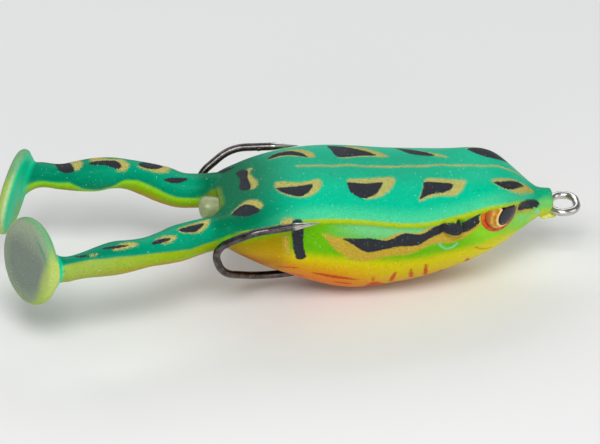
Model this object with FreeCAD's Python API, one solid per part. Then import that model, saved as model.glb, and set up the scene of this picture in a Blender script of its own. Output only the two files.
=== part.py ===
import FreeCAD, Part
import math
import os
from FreeCAD import Vector, Placement, Rotation

# Hollow-body swimming-frog surface lure, millimetres.
#
# Frame: origin inside the line-tie loop, +X forward (the pull direction),
# +Z up (the frog's back), +Y the frog's left, symmetric about the XZ plane.
#
# A soft thin-walled body is closed at the rear by a solid hip moulding with
# two swimming legs.  One double hook runs through the nose, carries a cast
# weight inside the body, leaves by two belly slots and turns up along both
# flanks, so that its points face forward beside the back.  Each leg bends at
# hip, knee and ankle, where a ball end sits in a shallow cup.

os.makedirs("parts", exist_ok=True)

# ------------------------------------------------------------------ dimensions
# Body sections from nose to rear: x, half width, flank-line z, back z, belly z
BODY = [
    (-3.5, 2.50, 1.00, 3.50, -1.50),
    (-5.3, 2.70, 1.20, 3.90, -1.70),
    (-6.7, 3.45, 2.40, 4.85, -2.50),
    (-8.6, 4.75, 4.00, 6.65, -3.65),
    (-11.0, 6.85, 5.60, 8.60, -4.90),
    (-13.6, 8.75, 6.55, 9.85, -6.20),
    (-16.5, 9.80, 6.75, 10.40, -7.60),
    (-20.4, 10.9, 6.30, 10.75, -9.00),
    (-25.1, 11.8, 5.90, 11.20, -10.3),
    (-29.7, 12.5, 5.90, 11.45, -11.3),
    (-34.5, 12.8, 6.50, 11.80, -12.0),
    (-39.5, 12.8, 7.50, 12.50, -12.6),
    (-44.5, 12.7, 8.30, 13.15, -12.2),
    (-49.5, 12.4, 8.60, 13.50, -10.6),
    (-54.5, 12.2, 8.40, 13.10, -8.30),
    (-59.3, 12.1, 7.60, 11.80, -5.70),
    (-63.0, 11.7, 6.80, 10.30, -3.20),
    (-66.0, 11.0, 6.20, 8.80, -0.90),
    (-68.4, 9.60, 5.50, 7.40, 1.30),
]
TOP_POWER = 2.0       # superellipse power above the flank line
BELLY_POWER = 2.5     # and below it
SECTION_POINTS = 40
WALL = 1.3
CAVITY_X = -10.6      # front end of the hollow
JOIN_X = -63.6        # where the shell meets the hip moulding
JOIN_GAP = 0.04       # on each side of the join
REAR_X = BODY[-1][0]
SPIGOT = 4.0          # length of the moulding inside the shell
SPIGOT_GAP = 0.25     # glue space round the spigot

WIRE_R = 0.75         # hook wire
STRAND_Y = 0.78       # half spacing of the two shanks
# Corners of the left half of the hook wire: x, y, z, bend radius
HOOK = [
    (2.1, 0.0, 0.0, 0.0),
    (2.1, 2.75, 0.0, 2.3),
    (-1.4, 3.2, 0.0, 2.2),
    (-3.8, STRAND_Y + 0.02, 0.0, 1.5),
    (-9.0, STRAND_Y, 0.0, 6.0),
    (-31.0, 0.95, -7.7, 12.0),
    (-44.0, 1.8, -8.9, 25.0),
    (-59.33, 4.05, -8.34, 15.1),
    (-68.5, 10.75, -2.65, 8.3),
    (-70.4, 12.62, 4.4, 4.9),
    (-62.92, 15.21, 9.07, 8.3),
    (-54.6, 14.35, 9.15, 0.0),
]
POINT_LEN = 4.6       # ground point
POINT_TIP_R = 0.07
BARB_BACK = 7.6       # barb root behind the tip
BARB = [(0.35, 2.6), (0.35, 0.2), (1.15, -0.25)]   # corners: inward, forward of its root
BARB_HALF = 0.28      # half thickness

BRAZE_CORNER = 4      # the braze is set out from this hook corner
BRAZE_START = 3.2     # distance behind it
BRAZE_R, BRAZE_LEN = 1.15, 4.4

WEIGHT_SIZE = Vector(14.0, 7.0, 5.0)
WEIGHT_REAR_X, WEIGHT_BOTTOM_Z = -46.5, -9.9
WEIGHT_FILLET = 2.2

SEAL_X = (-4.4, -7.0)  # front and rear faces
SEAL_R = 1.42
SEAL_HOLE_R = WIRE_R + 0.12

SLOT_X = (-47.2, -50.5, -54.0, -57.5, -60.5, -62.9)
SLOT_HALF = 1.25      # half width
SLOT_BOTTOM_Z, SLOT_HEIGHT = -14.0, 13.2

EYE = Vector(-14.0, 8.9, 5.05)
EYE_N = Vector(0.50, 0.85, -0.12).normalize()
EYE_R = 3.3
EYE_RISE = 1.35       # dome above the rim plane
EYE_SUNK = 0.9        # flat back below it
EYE_GAP = 0.02
BROW = Vector(-14.0, 0.0, 6.55)      # the brow covers the eye above this plane
BROW_N = Vector(0.13, 0.0, 1.0)

PLUG = Vector(-65.0, 0, 5.2)         # front end of the tail plug
PLUG_R, PLUG_STEM = 2.3, 3.6
PLUG_HOLE_DEPTH, PLUG_GAP = 6.0, 0.02

# Left leg centre line: x, y, z, radius
LEG = [
    (-66.2, 7.2, 4.9, 3.4),
    (-70.6, 7.8, 4.7, 3.30),      # hip
    (-74.0, 8.7, 4.6, 3.42),
    (-77.0, 10.4, 5.0, 3.52),
    (-80.0, 12.3, 5.4, 3.20),
    (-83.3, 13.9, 5.8, 2.88),     # knee
    (-86.5, 14.8, 5.9, 2.95),
    (-89.8, 15.0, 5.7, 3.10),
    (-92.8, 15.3, 5.4, 2.90),
    (-95.8, 15.8, 5.2, 2.50),
    (-99.0, 16.8, 5.3, 2.32),     # ankle
]
HIP, KNEE, ANKLE = [Vector(*LEG[i][:3]) for i in (1, 5, 10)]
HIP_BALL, KNEE_BALL, ANKLE_BALL = 3.15, 2.75, 2.20   # radii
CLEAR = 0.08                                         # cup radius over ball radius
HIP_CUT, KNEE_CUT, ANKLE_CUT = 1.9, 1.25, 1.25       # cup mouth ahead of the centre

SOLE = Vector(-106.6, 12.8, 5.1)     # centre of the paddle's rear face
SOLE_N = Vector(-0.896, 0.412, 0.155).normalize()
FOOT_R, FOOT_T = 8.6, 2.4            # paddle radius and thickness
FOOT_EDGE = 1.05                     # rim rounding
FLARE_MID_R, FLARE_END_R = 2.55, 3.9
FLARE_SUNK = 0.7                     # the flare ends this deep in the paddle
FLARE_OFFSET = 0.62                  # share of the way from centre towards the ankle


# --------------------------------------------------------------------- helpers
def mirror(shape):
    return shape.mirror(Vector(0, 0, 0), Vector(0, 1, 0))


def both(shape):
    return [shape, mirror(shape)]


def cut_each(shape, tools):
    """Cut the tools away one after another."""
    for tool in tools:
        shape = shape.cut(tool)
    return shape


def loft(wires, ruled=False):
    return Part.makeLoft(wires, True, ruled)


def one(shape):
    """The largest solid of a result; any others must be mere crumbs."""
    solids = sorted(shape.Solids, key=lambda solid: -solid.Volume)
    assert solids and (len(solids) == 1 or solids[1].Volume < 0.02 * solids[0].Volume)
    return solids[0]


def slab(rear_x, front_x):
    """Block between two x values, larger than the body in y and z."""
    return Part.makeBox(front_x - rear_x, 60, 60, Vector(rear_x, -30, -30))


def block_beyond(point, normal, size=60.0):
    """Big block on the side of the plane that the normal points to."""
    block = Part.makeBox(size, size, size, Vector(-size / 2, -size / 2, 0))
    block.Placement = Placement(point, Rotation(Vector(0, 0, 1), Vector(normal).normalize()))
    return block


def closed_curve(points):
    curve = Part.BSplineCurve()
    curve.interpolate(Points=points, PeriodicFlag=True)
    return Part.Wire([curve.toShape()])


def section(x, half_width, flank_z, back_z, belly_z):
    """Half-superellipses above and below the flank line."""
    points = []
    for i in range(SECTION_POINTS):
        angle = -math.pi / 2 + 2 * math.pi * i / SECTION_POINTS
        c, s = math.cos(angle), math.sin(angle)
        height = (back_z - flank_z) if s >= 0 else (flank_z - belly_z)
        power = TOP_POWER if s >= 0 else BELLY_POWER
        scale = (abs(c) ** power + abs(s) ** power) ** (-1.0 / power)
        points.append(Vector(x, c * half_width * scale, flank_z + s * height * scale))
    return closed_curve(points)


def body_at(x):
    """Body section values at x by cubic blending; x lies inside the end intervals."""
    i = next(i for i in range(len(BODY) - 1) if BODY[i][0] >= x >= BODY[i + 1][0])
    p0, p1, p2, p3 = BODY[i - 1:i + 3]
    step = p2[0] - p1[0]
    t = (x - p1[0]) / step
    values = []
    for k in range(1, 5):
        slope1 = (p2[k] - p0[k]) / (p2[0] - p0[0]) * step
        slope2 = (p3[k] - p1[k]) / (p3[0] - p1[0]) * step
        values.append((2 * t**3 - 3 * t**2 + 1) * p1[k] + (t**3 - 2 * t**2 + t) * slope1
                      + (-2 * t**3 + 3 * t**2) * p2[k] + (t**3 - t**2) * slope2)
    return values


def inner_section(x, inset):
    half_width, flank_z, back_z, belly_z = body_at(x)
    return section(x, half_width - inset, flank_z, back_z - inset, belly_z + inset)


def flat_slot(x, half_y, z, r):
    """Wire in a plane of constant x: flat top and bottom, round ends in y."""
    p = [Vector(x, -half_y, z - r), Vector(x, -half_y - r, z), Vector(x, -half_y, z + r),
         Vector(x, half_y, z + r), Vector(x, half_y + r, z), Vector(x, half_y, z - r)]
    return Part.Wire([Part.Arc(p[0], p[1], p[2]).toShape(), Part.makeLine(p[2], p[3]),
                      Part.Arc(p[3], p[4], p[5]).toShape(), Part.makeLine(p[5], p[0])])


def rings(frames):
    """Rings square to a line of (point, tangent, radius), without twist."""
    wires = []
    up = Vector(0, 0, 1)
    for centre, tangent, r in frames:
        tangent = Vector(tangent).normalize()
        up = (up - tangent * up.dot(tangent)).normalize()
        side = tangent.cross(up)
        angles = [k * math.pi / 6 for k in range(12)]
        wires.append(closed_curve([centre + up * (r * math.cos(a)) + side * (r * math.sin(a))
                                   for a in angles]))
    return wires


def centre_line(stations):
    curve = Part.BSplineCurve()
    curve.interpolate([Vector(*row[:3]) for row in stations])
    return curve


def tangent_at(curve, point):
    return curve.tangent(curve.parameter(point))[0].normalize()


def tube(stations):
    """Solid through circles square to a centre line of (x, y, z, radius)."""
    curve = centre_line(stations)
    frames = []
    for row in stations:
        point = Vector(*row[:3])
        frames.append((point, tangent_at(curve, point), row[3]))
    return loft(rings(frames))


def rounded(corners):
    """Wire of lines joined by tangent arcs."""
    points = [Vector(*corner[:3]) for corner in corners]
    edges, last = [], points[0]
    for i in range(1, len(points) - 1):
        corner, r = points[i], corners[i][3]
        before = (corner - points[i - 1]).normalize()
        after = (points[i + 1] - corner).normalize()
        turn = math.acos(max(-1.0, min(1.0, before.dot(after))))
        setback = r * math.tan(turn / 2)
        arc_start, arc_end = corner - before * setback, corner + after * setback
        middle = corner + (after - before).normalize() * (r / math.cos(turn / 2) - r)
        edges += [Part.makeLine(last, arc_start),
                  Part.Arc(arc_start, middle, arc_end).toShape()]
        last = arc_end
    edges.append(Part.makeLine(last, points[-1]))
    return Part.Wire(edges)


# ------------------------------------------------------- hook and what it holds
def make_hook():
    corners = [(x, -y, z, r) for x, y, z, r in reversed(HOOK[1:])] + HOOK[1:]
    start = Vector(*corners[0][:3])
    heading = (Vector(*corners[1][:3]) - start).normalize()
    profile = Part.Face(Part.Wire([Part.makeCircle(WIRE_R, start, heading)]))
    bar = rounded(corners).makePipe(profile)

    end = Vector(*HOOK[-1][:3])
    forward = (end - Vector(*HOOK[-2][:3])).normalize()
    point = Part.makeCone(WIRE_R, POINT_TIP_R, POINT_LEN, end, forward)

    # the barb is a small blade on the body side of the wire
    root = end - forward * (BARB_BACK - POINT_LEN)
    inward = Vector(0, -1, 0)
    inward = (inward - forward * inward.dot(forward)).normalize()
    side = forward.cross(inward)
    blade = [root + inward * a + forward * b - side * BARB_HALF for a, b in BARB + BARB[:1]]
    barb = Part.Face(Part.makePolygon(blade)).extrude(side * (2 * BARB_HALF))
    return one(bar.fuse(both(point) + both(barb)))


def make_braze(hook):
    """Solder sleeve that ties the two shanks together behind the nose."""
    corner = Vector(*HOOK[BRAZE_CORNER][:3])
    run = Vector(*HOOK[BRAZE_CORNER + 1][:3]) - corner
    run.y = 0
    start = corner + run * (BRAZE_START / run.Length)
    sleeve = Part.makeCylinder(BRAZE_R, BRAZE_LEN, start, run)
    return one(sleeve.fuse(mirror(sleeve)).cut(hook))


def make_weight(hook):
    """Cast belly weight round both shanks."""
    size = WEIGHT_SIZE
    cast = Part.makeBox(size.x, size.y, size.z,
                        Vector(WEIGHT_REAR_X, -size.y / 2, WEIGHT_BOTTOM_Z))
    return one(cast.makeFillet(WEIGHT_FILLET, cast.Edges).cut(hook))


def make_seal():
    """Soft nose grommet round both strands."""
    seal = loft([flat_slot(x, STRAND_Y, 0.0, SEAL_R) for x in SEAL_X])
    seal = one(seal.cut(loft([flat_slot(x, STRAND_Y, 0.0, SEAL_HOLE_R) for x in (-3.5, -8.0)])))
    # the strands spread towards the loop, so the mouth is relieved
    relief = loft([flat_slot(-5.2, STRAND_Y + 0.02, 0.0, WIRE_R + 0.13),
                   flat_slot(-4.1, 1.05, 0.0, WIRE_R + 0.16)], ruled=True)
    return one(seal.cut(relief))


# ------------------------------------------------------------------------- body
def eye_rod(gap):
    """Eye blank up to the brow; a gap enlarges it into the eye's pocket."""
    rod = Part.makeCylinder(EYE_R + gap, EYE_RISE + EYE_SUNK + 1.0,
                            EYE - EYE_N * EYE_SUNK - EYE_N * gap, EYE_N)
    return rod.cut(block_beyond(BROW + Vector(0, 0, gap), BROW_N))


def make_eye():
    """Low dome with a short rim and a flat back."""
    dome_r = (EYE_R ** 2 + EYE_RISE ** 2) / (2 * EYE_RISE)
    ball = Part.makeSphere(dome_r, EYE + EYE_N * (EYE_RISE - dome_r))
    return one(eye_rod(0.0).common(ball))


def belly_slots():
    """Upright cuts along each shank, open to the hollow so that the hook can rise."""
    path = [p for p in rounded(HOOK).discretize(Distance=0.25) if p.x < -44.0 and p.z < 0]
    line = [min(path, key=lambda p: abs(p.x - x)) for x in SLOT_X]
    left, right = [], []
    for i, p in enumerate(line):
        before, after = line[max(i - 1, 0)], line[min(i + 1, len(line) - 1)]
        along = Vector(after.x - before.x, after.y - before.y, 0).normalize()
        offset = Vector(-along.y, along.x, 0) * SLOT_HALF
        base = Vector(p.x, p.y, SLOT_BOTTOM_Z)
        left.append(base + offset)
        right.append(base - offset)
    outline = left + right[::-1]
    face = Part.Face(Part.makePolygon(outline + outline[:1]))
    return both(face.extrude(Vector(0, 0, SLOT_HEIGHT)))


def make_shell(outer, slots):
    stations = [CAVITY_X]
    stations += [row[0] for row in BODY if CAVITY_X - 1.0 > row[0] > JOIN_X + 1.0]
    stations += [JOIN_X - 0.5]
    cavity = loft([inner_section(x, WALL) for x in stations])
    shell = outer.common(slab(JOIN_X + JOIN_GAP, 5)).cut(cavity)

    seal_seat = loft([flat_slot(x, STRAND_Y, 0.0, SEAL_R + 0.02)
                      for x in (0.0, SEAL_X[1] - 0.04)])
    # the nose bore widens behind the seal so that the hook can rock
    bore = loft([flat_slot(-6.6, STRAND_Y, 0.0, 1.0),
                 flat_slot(CAVITY_X - 0.6, STRAND_Y, -0.55, 1.5)], ruled=True)
    return one(cut_each(shell, [seal_seat, bore] + slots + both(eye_rod(EYE_GAP))))


def make_hip_block(outer, slots):
    """Rear of the body with a spigot into the shell and a cup for each thigh."""
    rear = outer.common(slab(REAR_X - 1, JOIN_X - JOIN_GAP))
    spigot = loft([inner_section(JOIN_X + ahead, WALL + SPIGOT_GAP)
                   for ahead in (SPIGOT, 3.0, 2.0, 1.0, 0.3, -0.4)])
    leg_root = tube(LEG[:3]).common(slab(HIP.x + HIP_CUT, -60))
    hip = rear.fuse([spigot] + both(leg_root))
    cup = Part.makeSphere(HIP_BALL + CLEAR, HIP)
    plug_hole = Part.makeCylinder(PLUG_R + PLUG_GAP, PLUG_HOLE_DEPTH, PLUG, Vector(-1, 0, 0))
    return one(cut_each(hip, both(cup) + [plug_hole] + slots))


def make_tail_plug():
    """Short stem with a round rear end."""
    stem = Part.makeCylinder(PLUG_R, PLUG_STEM, PLUG, Vector(-1, 0, 0))
    dome = Part.makeSphere(PLUG_R, PLUG - Vector(PLUG_STEM, 0, 0))
    return one(stem.fuse(dome).removeSplitter())


# ------------------------------------------------------------------------- legs
LEG_LINE = centre_line(LEG)


def make_link(stations, ball, ball_r, cup, cup_ball_r, mouth):
    """Leg link: tube with a ball end in front and a cup behind."""
    link = tube(stations)
    link = link.cut(block_beyond(ball, tangent_at(LEG_LINE, ball) * -1.0))
    link = link.fuse(Part.makeSphere(ball_r, ball))
    rearward = tangent_at(LEG_LINE, cup)
    link = link.cut(block_beyond(cup - rearward * mouth, rearward))
    return one(link.cut(Part.makeSphere(cup_ball_r + CLEAR, cup)))


def make_foot():
    """Round paddle with a flare that gathers into the ankle ball."""
    plate = Part.makeCylinder(FOOT_R, FOOT_T, SOLE - SOLE_N * FOOT_T, SOLE_N)
    rims = [edge for edge in plate.Edges if isinstance(edge.Curve, Part.Circle)]
    plate = plate.makeFillet(FOOT_EDGE, rims)

    arm = ANKLE - SOLE
    across = arm - SOLE_N * arm.dot(SOLE_N)
    flare_end = SOLE - SOLE_N * (FOOT_T - FLARE_SUNK) + across * FLARE_OFFSET
    tangent = tangent_at(LEG_LINE, ANKLE)
    flare = loft(rings([
        (ANKLE, tangent, ANKLE_BALL * 0.97),
        (ANKLE + (flare_end - ANKLE) * 0.5, tangent + SOLE_N, FLARE_MID_R),
        (flare_end, SOLE_N, FLARE_END_R)]))
    return one(plate.fuse(flare).fuse(Part.makeSphere(ANKLE_BALL, ANKLE)))


# --------------------------------------------------------------------- assembly
hook = make_hook()
outer = loft([section(*row) for row in BODY])
slots = belly_slots()

parts = {
    "body_shell": make_shell(outer, slots),
    "hip_block": make_hip_block(outer, slots),
    "nose_seal": make_seal(),
    "tail_plug": make_tail_plug(),
    "double_hook": hook,
    "shank_braze": make_braze(hook),
    "belly_weight": make_weight(hook),
}
left_parts = {
    "eye": make_eye(),
    "thigh": make_link(LEG[:7], HIP, HIP_BALL, KNEE, KNEE_BALL, KNEE_CUT),
    "calf": make_link(LEG[4:], KNEE, KNEE_BALL, ANKLE, ANKLE_BALL, ANKLE_CUT),
    "foot": make_foot(),
}
for name, shape in left_parts.items():
    parts["left_" + name] = shape
    parts["right_" + name] = mirror(shape)

for name, shape in parts.items():
    shape.exportStep("parts/%s.step" % name)
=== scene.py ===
# A hollow soft-bodied frog lure on a double hook: one painted skin cut into a body and
# two jointed legs with paddle feet, domed eyes, a tail plug and a sealed nose.
# Frame: origin at the line-tie loop, +X forward, +Y to the frog's left, +Z to the back.
# Work is in millimetres and scaled to metres when a mesh is made.
import functools
import math

import bmesh
import bpy
import numpy as np
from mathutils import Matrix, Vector, kdtree


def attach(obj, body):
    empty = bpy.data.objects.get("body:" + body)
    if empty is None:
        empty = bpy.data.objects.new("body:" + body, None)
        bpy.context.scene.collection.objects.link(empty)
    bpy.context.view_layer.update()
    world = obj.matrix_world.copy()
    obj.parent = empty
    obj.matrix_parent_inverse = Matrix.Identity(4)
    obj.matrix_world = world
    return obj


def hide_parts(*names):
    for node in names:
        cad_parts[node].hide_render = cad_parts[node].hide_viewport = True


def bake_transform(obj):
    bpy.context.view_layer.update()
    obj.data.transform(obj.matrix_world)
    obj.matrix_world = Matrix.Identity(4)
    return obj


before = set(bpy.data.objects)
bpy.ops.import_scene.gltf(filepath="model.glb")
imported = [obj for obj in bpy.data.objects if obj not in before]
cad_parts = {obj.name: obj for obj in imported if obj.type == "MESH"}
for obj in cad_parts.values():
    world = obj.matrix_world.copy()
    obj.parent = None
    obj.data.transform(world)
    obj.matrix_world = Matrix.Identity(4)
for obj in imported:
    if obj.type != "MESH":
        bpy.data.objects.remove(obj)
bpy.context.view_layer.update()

MM = 0.001
SKIN_VOXEL = 0.285
SOFTEN_STEPS = 8
SIDES = ((1, "left"), (-1, "right"))
UP = np.array([0, 0, 1.0])


# ------------------------------------------------------------------ small maths
def step(low, high, x):
    """smooth 0 to 1 as x goes from low to high; low may be the larger"""
    t = np.clip((x - low) / (high - low), 0, 1)
    return t * t * (3 - 2 * t)


def gauss(x, width):
    return np.exp(-(x / width) ** 2)


def unit(vectors):
    return vectors / np.linalg.norm(vectors, axis=-1, keepdims=True)


def hermite(start, end, start_step, end_step, t):
    return ((2*t**3 - 3*t**2 + 1) * start + (t**3 - 2*t**2 + t) * start_step
            + (-2*t**3 + 3*t**2) * end + (t**3 - t**2) * end_step)


def turn(count):
    """angles of one full turn"""
    return np.linspace(0, 2 * math.pi, count, endpoint=False)


def circle(centre, u, v, radius, angles):
    return centre + np.reshape(radius, (-1, 1)) * (np.cos(angles)[:, None] * u
                                                   + np.sin(angles)[:, None] * v)


def across(axis):
    """the two directions square to a rearward axis: upwards, and towards +Y"""
    upward = unit(UP - axis * axis[..., 2:])
    return upward, np.cross(axis, upward)


def mirror(points, side):
    return points * np.array([1, side, 1])


# ------------------------------------------------------------------- body shape
# x, half width, height of the flank line, of the back ridge and of the belly
BODY = np.array([
    (-3.5, 2.50, 1.00, 3.50, -1.50), (-5.3, 2.70, 1.20, 3.90, -1.70),
    (-6.7, 3.45, 2.40, 4.85, -2.50), (-8.6, 4.75, 4.00, 6.65, -3.65),
    (-11.0, 6.85, 5.60, 8.60, -4.90), (-13.6, 8.75, 6.55, 9.85, -6.20),
    (-16.5, 9.80, 6.75, 10.40, -7.60), (-20.4, 10.9, 6.30, 10.75, -9.00),
    (-25.1, 11.8, 5.90, 11.20, -10.3), (-29.7, 12.5, 5.90, 11.45, -11.3),
    (-34.5, 12.8, 6.50, 11.80, -12.0), (-39.5, 12.8, 7.50, 12.50, -12.6),
    (-44.5, 12.7, 8.30, 13.15, -12.2), (-49.5, 12.4, 8.60, 13.50, -10.6),
    (-54.5, 12.2, 8.40, 13.10, -8.30), (-59.3, 12.1, 7.60, 11.80, -5.70),
    (-63.0, 11.7, 6.80, 10.30, -3.20), (-66.0, 11.0, 6.20, 8.80, -0.90),
    (-68.4, 9.60, 5.50, 7.40, 1.30)])
NOSE_X, TAIL_X = BODY[0, 0], BODY[-1, 0]
# superellipse exponents above and below the flank line
UPPER_POWER, LOWER_POWER = 2.0, 2.5
WALL = 1.3


def body_section(x):
    """half width, flank z, back z and belly z at x"""
    x = np.asarray(x, float)
    last = len(BODY) - 1
    i = np.clip(np.searchsorted(-BODY[:, 0], -x, side='right') - 1, 0, last - 1)
    before, start, end, after = (BODY[np.clip(i + k, 0, last)] for k in (-1, 0, 1, 2))
    span = (end - start)[..., :1]
    t = np.clip((x[..., None] - start[..., :1]) / span, 0, 1)

    def rise(a, b):
        return (b - a)[..., 1:] / (b - a)[..., :1] * span
    return hermite(start[..., 1:], end[..., 1:], rise(before, end), rise(start, after), t)


def section_point(section, angle):
    """y and z on a section; the angle is 0 on the flank line and plus above it"""
    half_width, flank_z, back_z, belly_z = np.moveaxis(section, -1, 0)
    c, s = np.cos(angle), np.sin(angle)
    power = np.where(s >= 0, UPPER_POWER, LOWER_POWER)
    height = np.where(s >= 0, back_z - flank_z, flank_z - belly_z)
    k = (np.abs(c) ** power + np.abs(s) ** power) ** (-1.0 / power)
    return c * half_width * k, flank_z + s * height * k


# arc length from the back ridge, tabled over x and section angle
TABLE_X = np.linspace(NOSE_X, TAIL_X, 131)
TABLE_ANGLE = np.linspace(math.pi / 2, -math.pi / 2, 181)
FLANK_COLUMN = 90
_y, _z = section_point(body_section(TABLE_X)[:, None, :], TABLE_ANGLE[None, :])
TABLE_ARC = np.cumsum(np.hypot(np.diff(_y, axis=1, prepend=_y[:, :1]),
                               np.diff(_z, axis=1, prepend=_z[:, :1])), axis=1)


def skin_place(points):
    """arc from the back ridge, arc below the flank line, section angle"""
    x = np.clip(points[:, 0], TAIL_X, NOSE_X)
    half_width, flank_z, back_z, belly_z = body_section(x).T
    rise = points[:, 2] - flank_z
    height = np.where(rise >= 0, back_z - flank_z, flank_z - belly_z)
    angle = np.arctan2(rise / height, np.abs(points[:, 1]) / half_width)
    row = np.clip((x - TABLE_X[0]) / (TABLE_X[1] - TABLE_X[0]), 0, len(TABLE_X) - 1.001)
    column = np.clip((angle - TABLE_ANGLE[0]) / (TABLE_ANGLE[1] - TABLE_ANGLE[0]),
                     0, len(TABLE_ANGLE) - 1.001)
    i, j = row.astype(int), column.astype(int)
    u, w = row - i, column - j
    arc = (TABLE_ARC[i, j] * (1-u) * (1-w) + TABLE_ARC[i+1, j] * u * (1-w)
           + TABLE_ARC[i, j+1] * (1-u) * w + TABLE_ARC[i+1, j+1] * u * w)
    return arc, arc - np.interp(-x, -TABLE_X, TABLE_ARC[:, FLANK_COLUMN]), angle


# ------------------------------------------------------------- left leg and foot
# x, y, z of the centre line and radius, hip to ankle
LEG = np.array([
    (-66.2, 7.2, 4.9, 3.4), (-70.6, 7.8, 4.7, 3.30), (-74.0, 8.7, 4.6, 3.42),
    (-77.0, 10.4, 5.0, 3.52), (-80.0, 12.3, 5.4, 3.20), (-83.3, 13.9, 5.8, 2.88),
    (-86.5, 14.8, 5.9, 2.95), (-89.8, 15.0, 5.7, 3.10), (-92.8, 15.3, 5.4, 2.90),
    (-95.8, 15.8, 5.2, 2.50), (-99.0, 16.8, 5.3, 2.32)])
ANKLE = LEG[-1, :3]
# centre of the sole, and the rearward direction it faces
SOLE, SOLE_DIR = np.array([-106.6, 12.8, 5.1]), unit(np.array([-0.896, 0.412, 0.155]))


def smooth_line(stations, count=24):
    """smooth curve through the stations, with count points to each gap"""
    gaps = np.linalg.norm(np.diff(stations[:, :3], axis=0), axis=1)
    slope = np.gradient(stations, np.concatenate([[0], np.cumsum(gaps)]), axis=0)
    t = (np.arange(count) / count)[:, None]
    out = [hermite(stations[i], stations[i+1], gap * slope[i], gap * slope[i+1], t)
           for i, gap in enumerate(gaps)]
    return np.concatenate(out + [stations[-1:]])


_line = smooth_line(LEG)
LEG_CENTRE, LEG_RADIUS = _line[:, :3], _line[:, 3]
LEG_LENGTH = np.concatenate([[0], np.cumsum(np.linalg.norm(np.diff(LEG_CENTRE, axis=0), axis=1))])
LEG_DIR = unit(np.gradient(LEG_CENTRE, axis=0))
LEG_UP, LEG_OUT = across(LEG_DIR)
LEG_TREE = kdtree.KDTree(len(LEG_CENTRE))
for _i, _centre in enumerate(LEG_CENTRE):
    LEG_TREE.insert(_centre, _i)
LEG_TREE.balance()


def leg_place(points, side):
    """length along the leg, and angle from its top towards the outside"""
    points = mirror(points, side)
    near = np.array([LEG_TREE.find(point)[1] for point in points])
    offset = points - LEG_CENTRE[near]
    along = np.sum(offset * LEG_DIR[near], 1)
    offset = offset - LEG_DIR[near] * along[:, None]
    angle = np.arctan2(np.sum(offset * LEG_OUT[near], 1), np.sum(offset * LEG_UP[near], 1))
    return LEG_LENGTH[near] + along, angle


def on_leg(length, side):
    """point and direction of the centre line at a length along the leg"""
    i = int(np.argmin(np.abs(LEG_LENGTH - length)))
    return mirror(LEG_CENTRE[i], side), mirror(LEG_DIR[i], side)


# -------------------------------------------------------- places of the features
EYE = np.array([-14.0, 8.9, 5.05])
EYE_DIR = unit(np.array([0.50, 0.85, -0.12]))
_forward = np.array([0.86, -0.506, 0.0])
EYE_FORE = unit(_forward - EYE_DIR * (_forward @ EYE_DIR))
EYE_UP = np.cross(EYE_FORE, EYE_DIR)


def eye_place(points):
    """distance from the axis of the eye on the same side, and height over its plane"""
    offset = np.column_stack([points[:, 0], np.abs(points[:, 1]), points[:, 2]]) - EYE
    height = offset @ EYE_DIR
    return np.linalg.norm(offset - height[:, None] * EYE_DIR, axis=1), height


def ear_distance(x, arc):
    return np.hypot((x + 23.7) * 0.92, arc - 15.6)


def nostril_distance(x, arc):
    return np.hypot(x + 6.55, arc - 5.3)


# ----------------------------------------------------------------- mesh helpers
def ring_stack(rings):
    """vertices and faces of a closed skin through rings of equal count"""
    n = len(rings[0])
    faces = []
    for k in range(len(rings) - 1):
        a, b = k * n, (k + 1) * n
        for j in range(n):
            j2 = (j + 1) % n
            faces.append((a + j, a + j2, b + j2, b + j))
    verts = np.concatenate([*rings, [rings[0].mean(0)], [rings[-1].mean(0)]])
    first, last = len(verts) - 2, len(verts) - 1
    start = (len(rings) - 1) * n
    faces += [(first, (j + 1) % n, j) for j in range(n)]
    faces += [(last, start + j, start + (j + 1) % n) for j in range(n)]
    return verts, faces


def join_stacks(stacks):
    """several ring stacks as separate shells of one mesh"""
    all_verts, all_faces, base = [], [], 0
    for rings in stacks:
        verts, faces = ring_stack(rings)
        all_verts.append(verts)
        all_faces += [tuple(i + base for i in face) for face in faces]
        base += len(verts)
    return np.concatenate(all_verts), all_faces


def link_object(name, data):
    ob = bpy.data.objects.new(name, data)
    bpy.context.scene.collection.objects.link(ob)
    return ob


def shade_smooth(me):
    me.polygons.foreach_set("use_smooth", [True] * len(me.polygons))


def new_object(name, verts, faces):
    """smooth-shaded object whose shells all face outwards"""
    me = bpy.data.meshes.new(name)
    me.from_pydata([tuple(v) for v in np.asarray(verts) * MM], [], faces)
    me.validate(verbose=False)
    me.update()
    ob = link_object(name, me)
    bm = bmesh.new()
    bm.from_mesh(me)
    bmesh.ops.recalc_face_normals(bm, faces=bm.faces)
    bm.to_mesh(me)
    bm.free()
    shade_smooth(me)
    return ob


def modify(ob, kind, **settings):
    """adds one modifier and applies it"""
    mod = ob.modifiers.new(kind.lower(), kind)
    for key, value in settings.items():
        setattr(mod, key, value)
    dg = bpy.context.evaluated_depsgraph_get()
    dg.update()
    me = bpy.data.meshes.new_from_object(ob.evaluated_get(dg), depsgraph=dg)
    old = ob.data
    ob.modifiers.clear()
    ob.data = me
    bpy.data.meshes.remove(old)


def remesh(ob, voxel):
    modify(ob, "REMESH", mode="VOXEL", voxel_size=voxel * MM, use_smooth_shade=True)


def soften(ob, steps):
    modify(ob, "SMOOTH", factor=0.5, iterations=steps)


def cut(ob, rings):
    """takes a ring stack out of an object"""
    before = ob.data.copy()
    cutter = new_object("cutter", *ring_stack(rings))
    # the first solver may refuse a mesh and lose most of it; the second takes over then
    for solver in ("MANIFOLD", "EXACT"):
        modify(ob, "BOOLEAN", operation="DIFFERENCE", object=cutter, solver=solver)
        if len(ob.data.vertices) > 0.6 * len(before.vertices):
            break
        ob.data = before.copy()
    bpy.data.meshes.remove(before)
    bpy.data.objects.remove(cutter)


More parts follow.
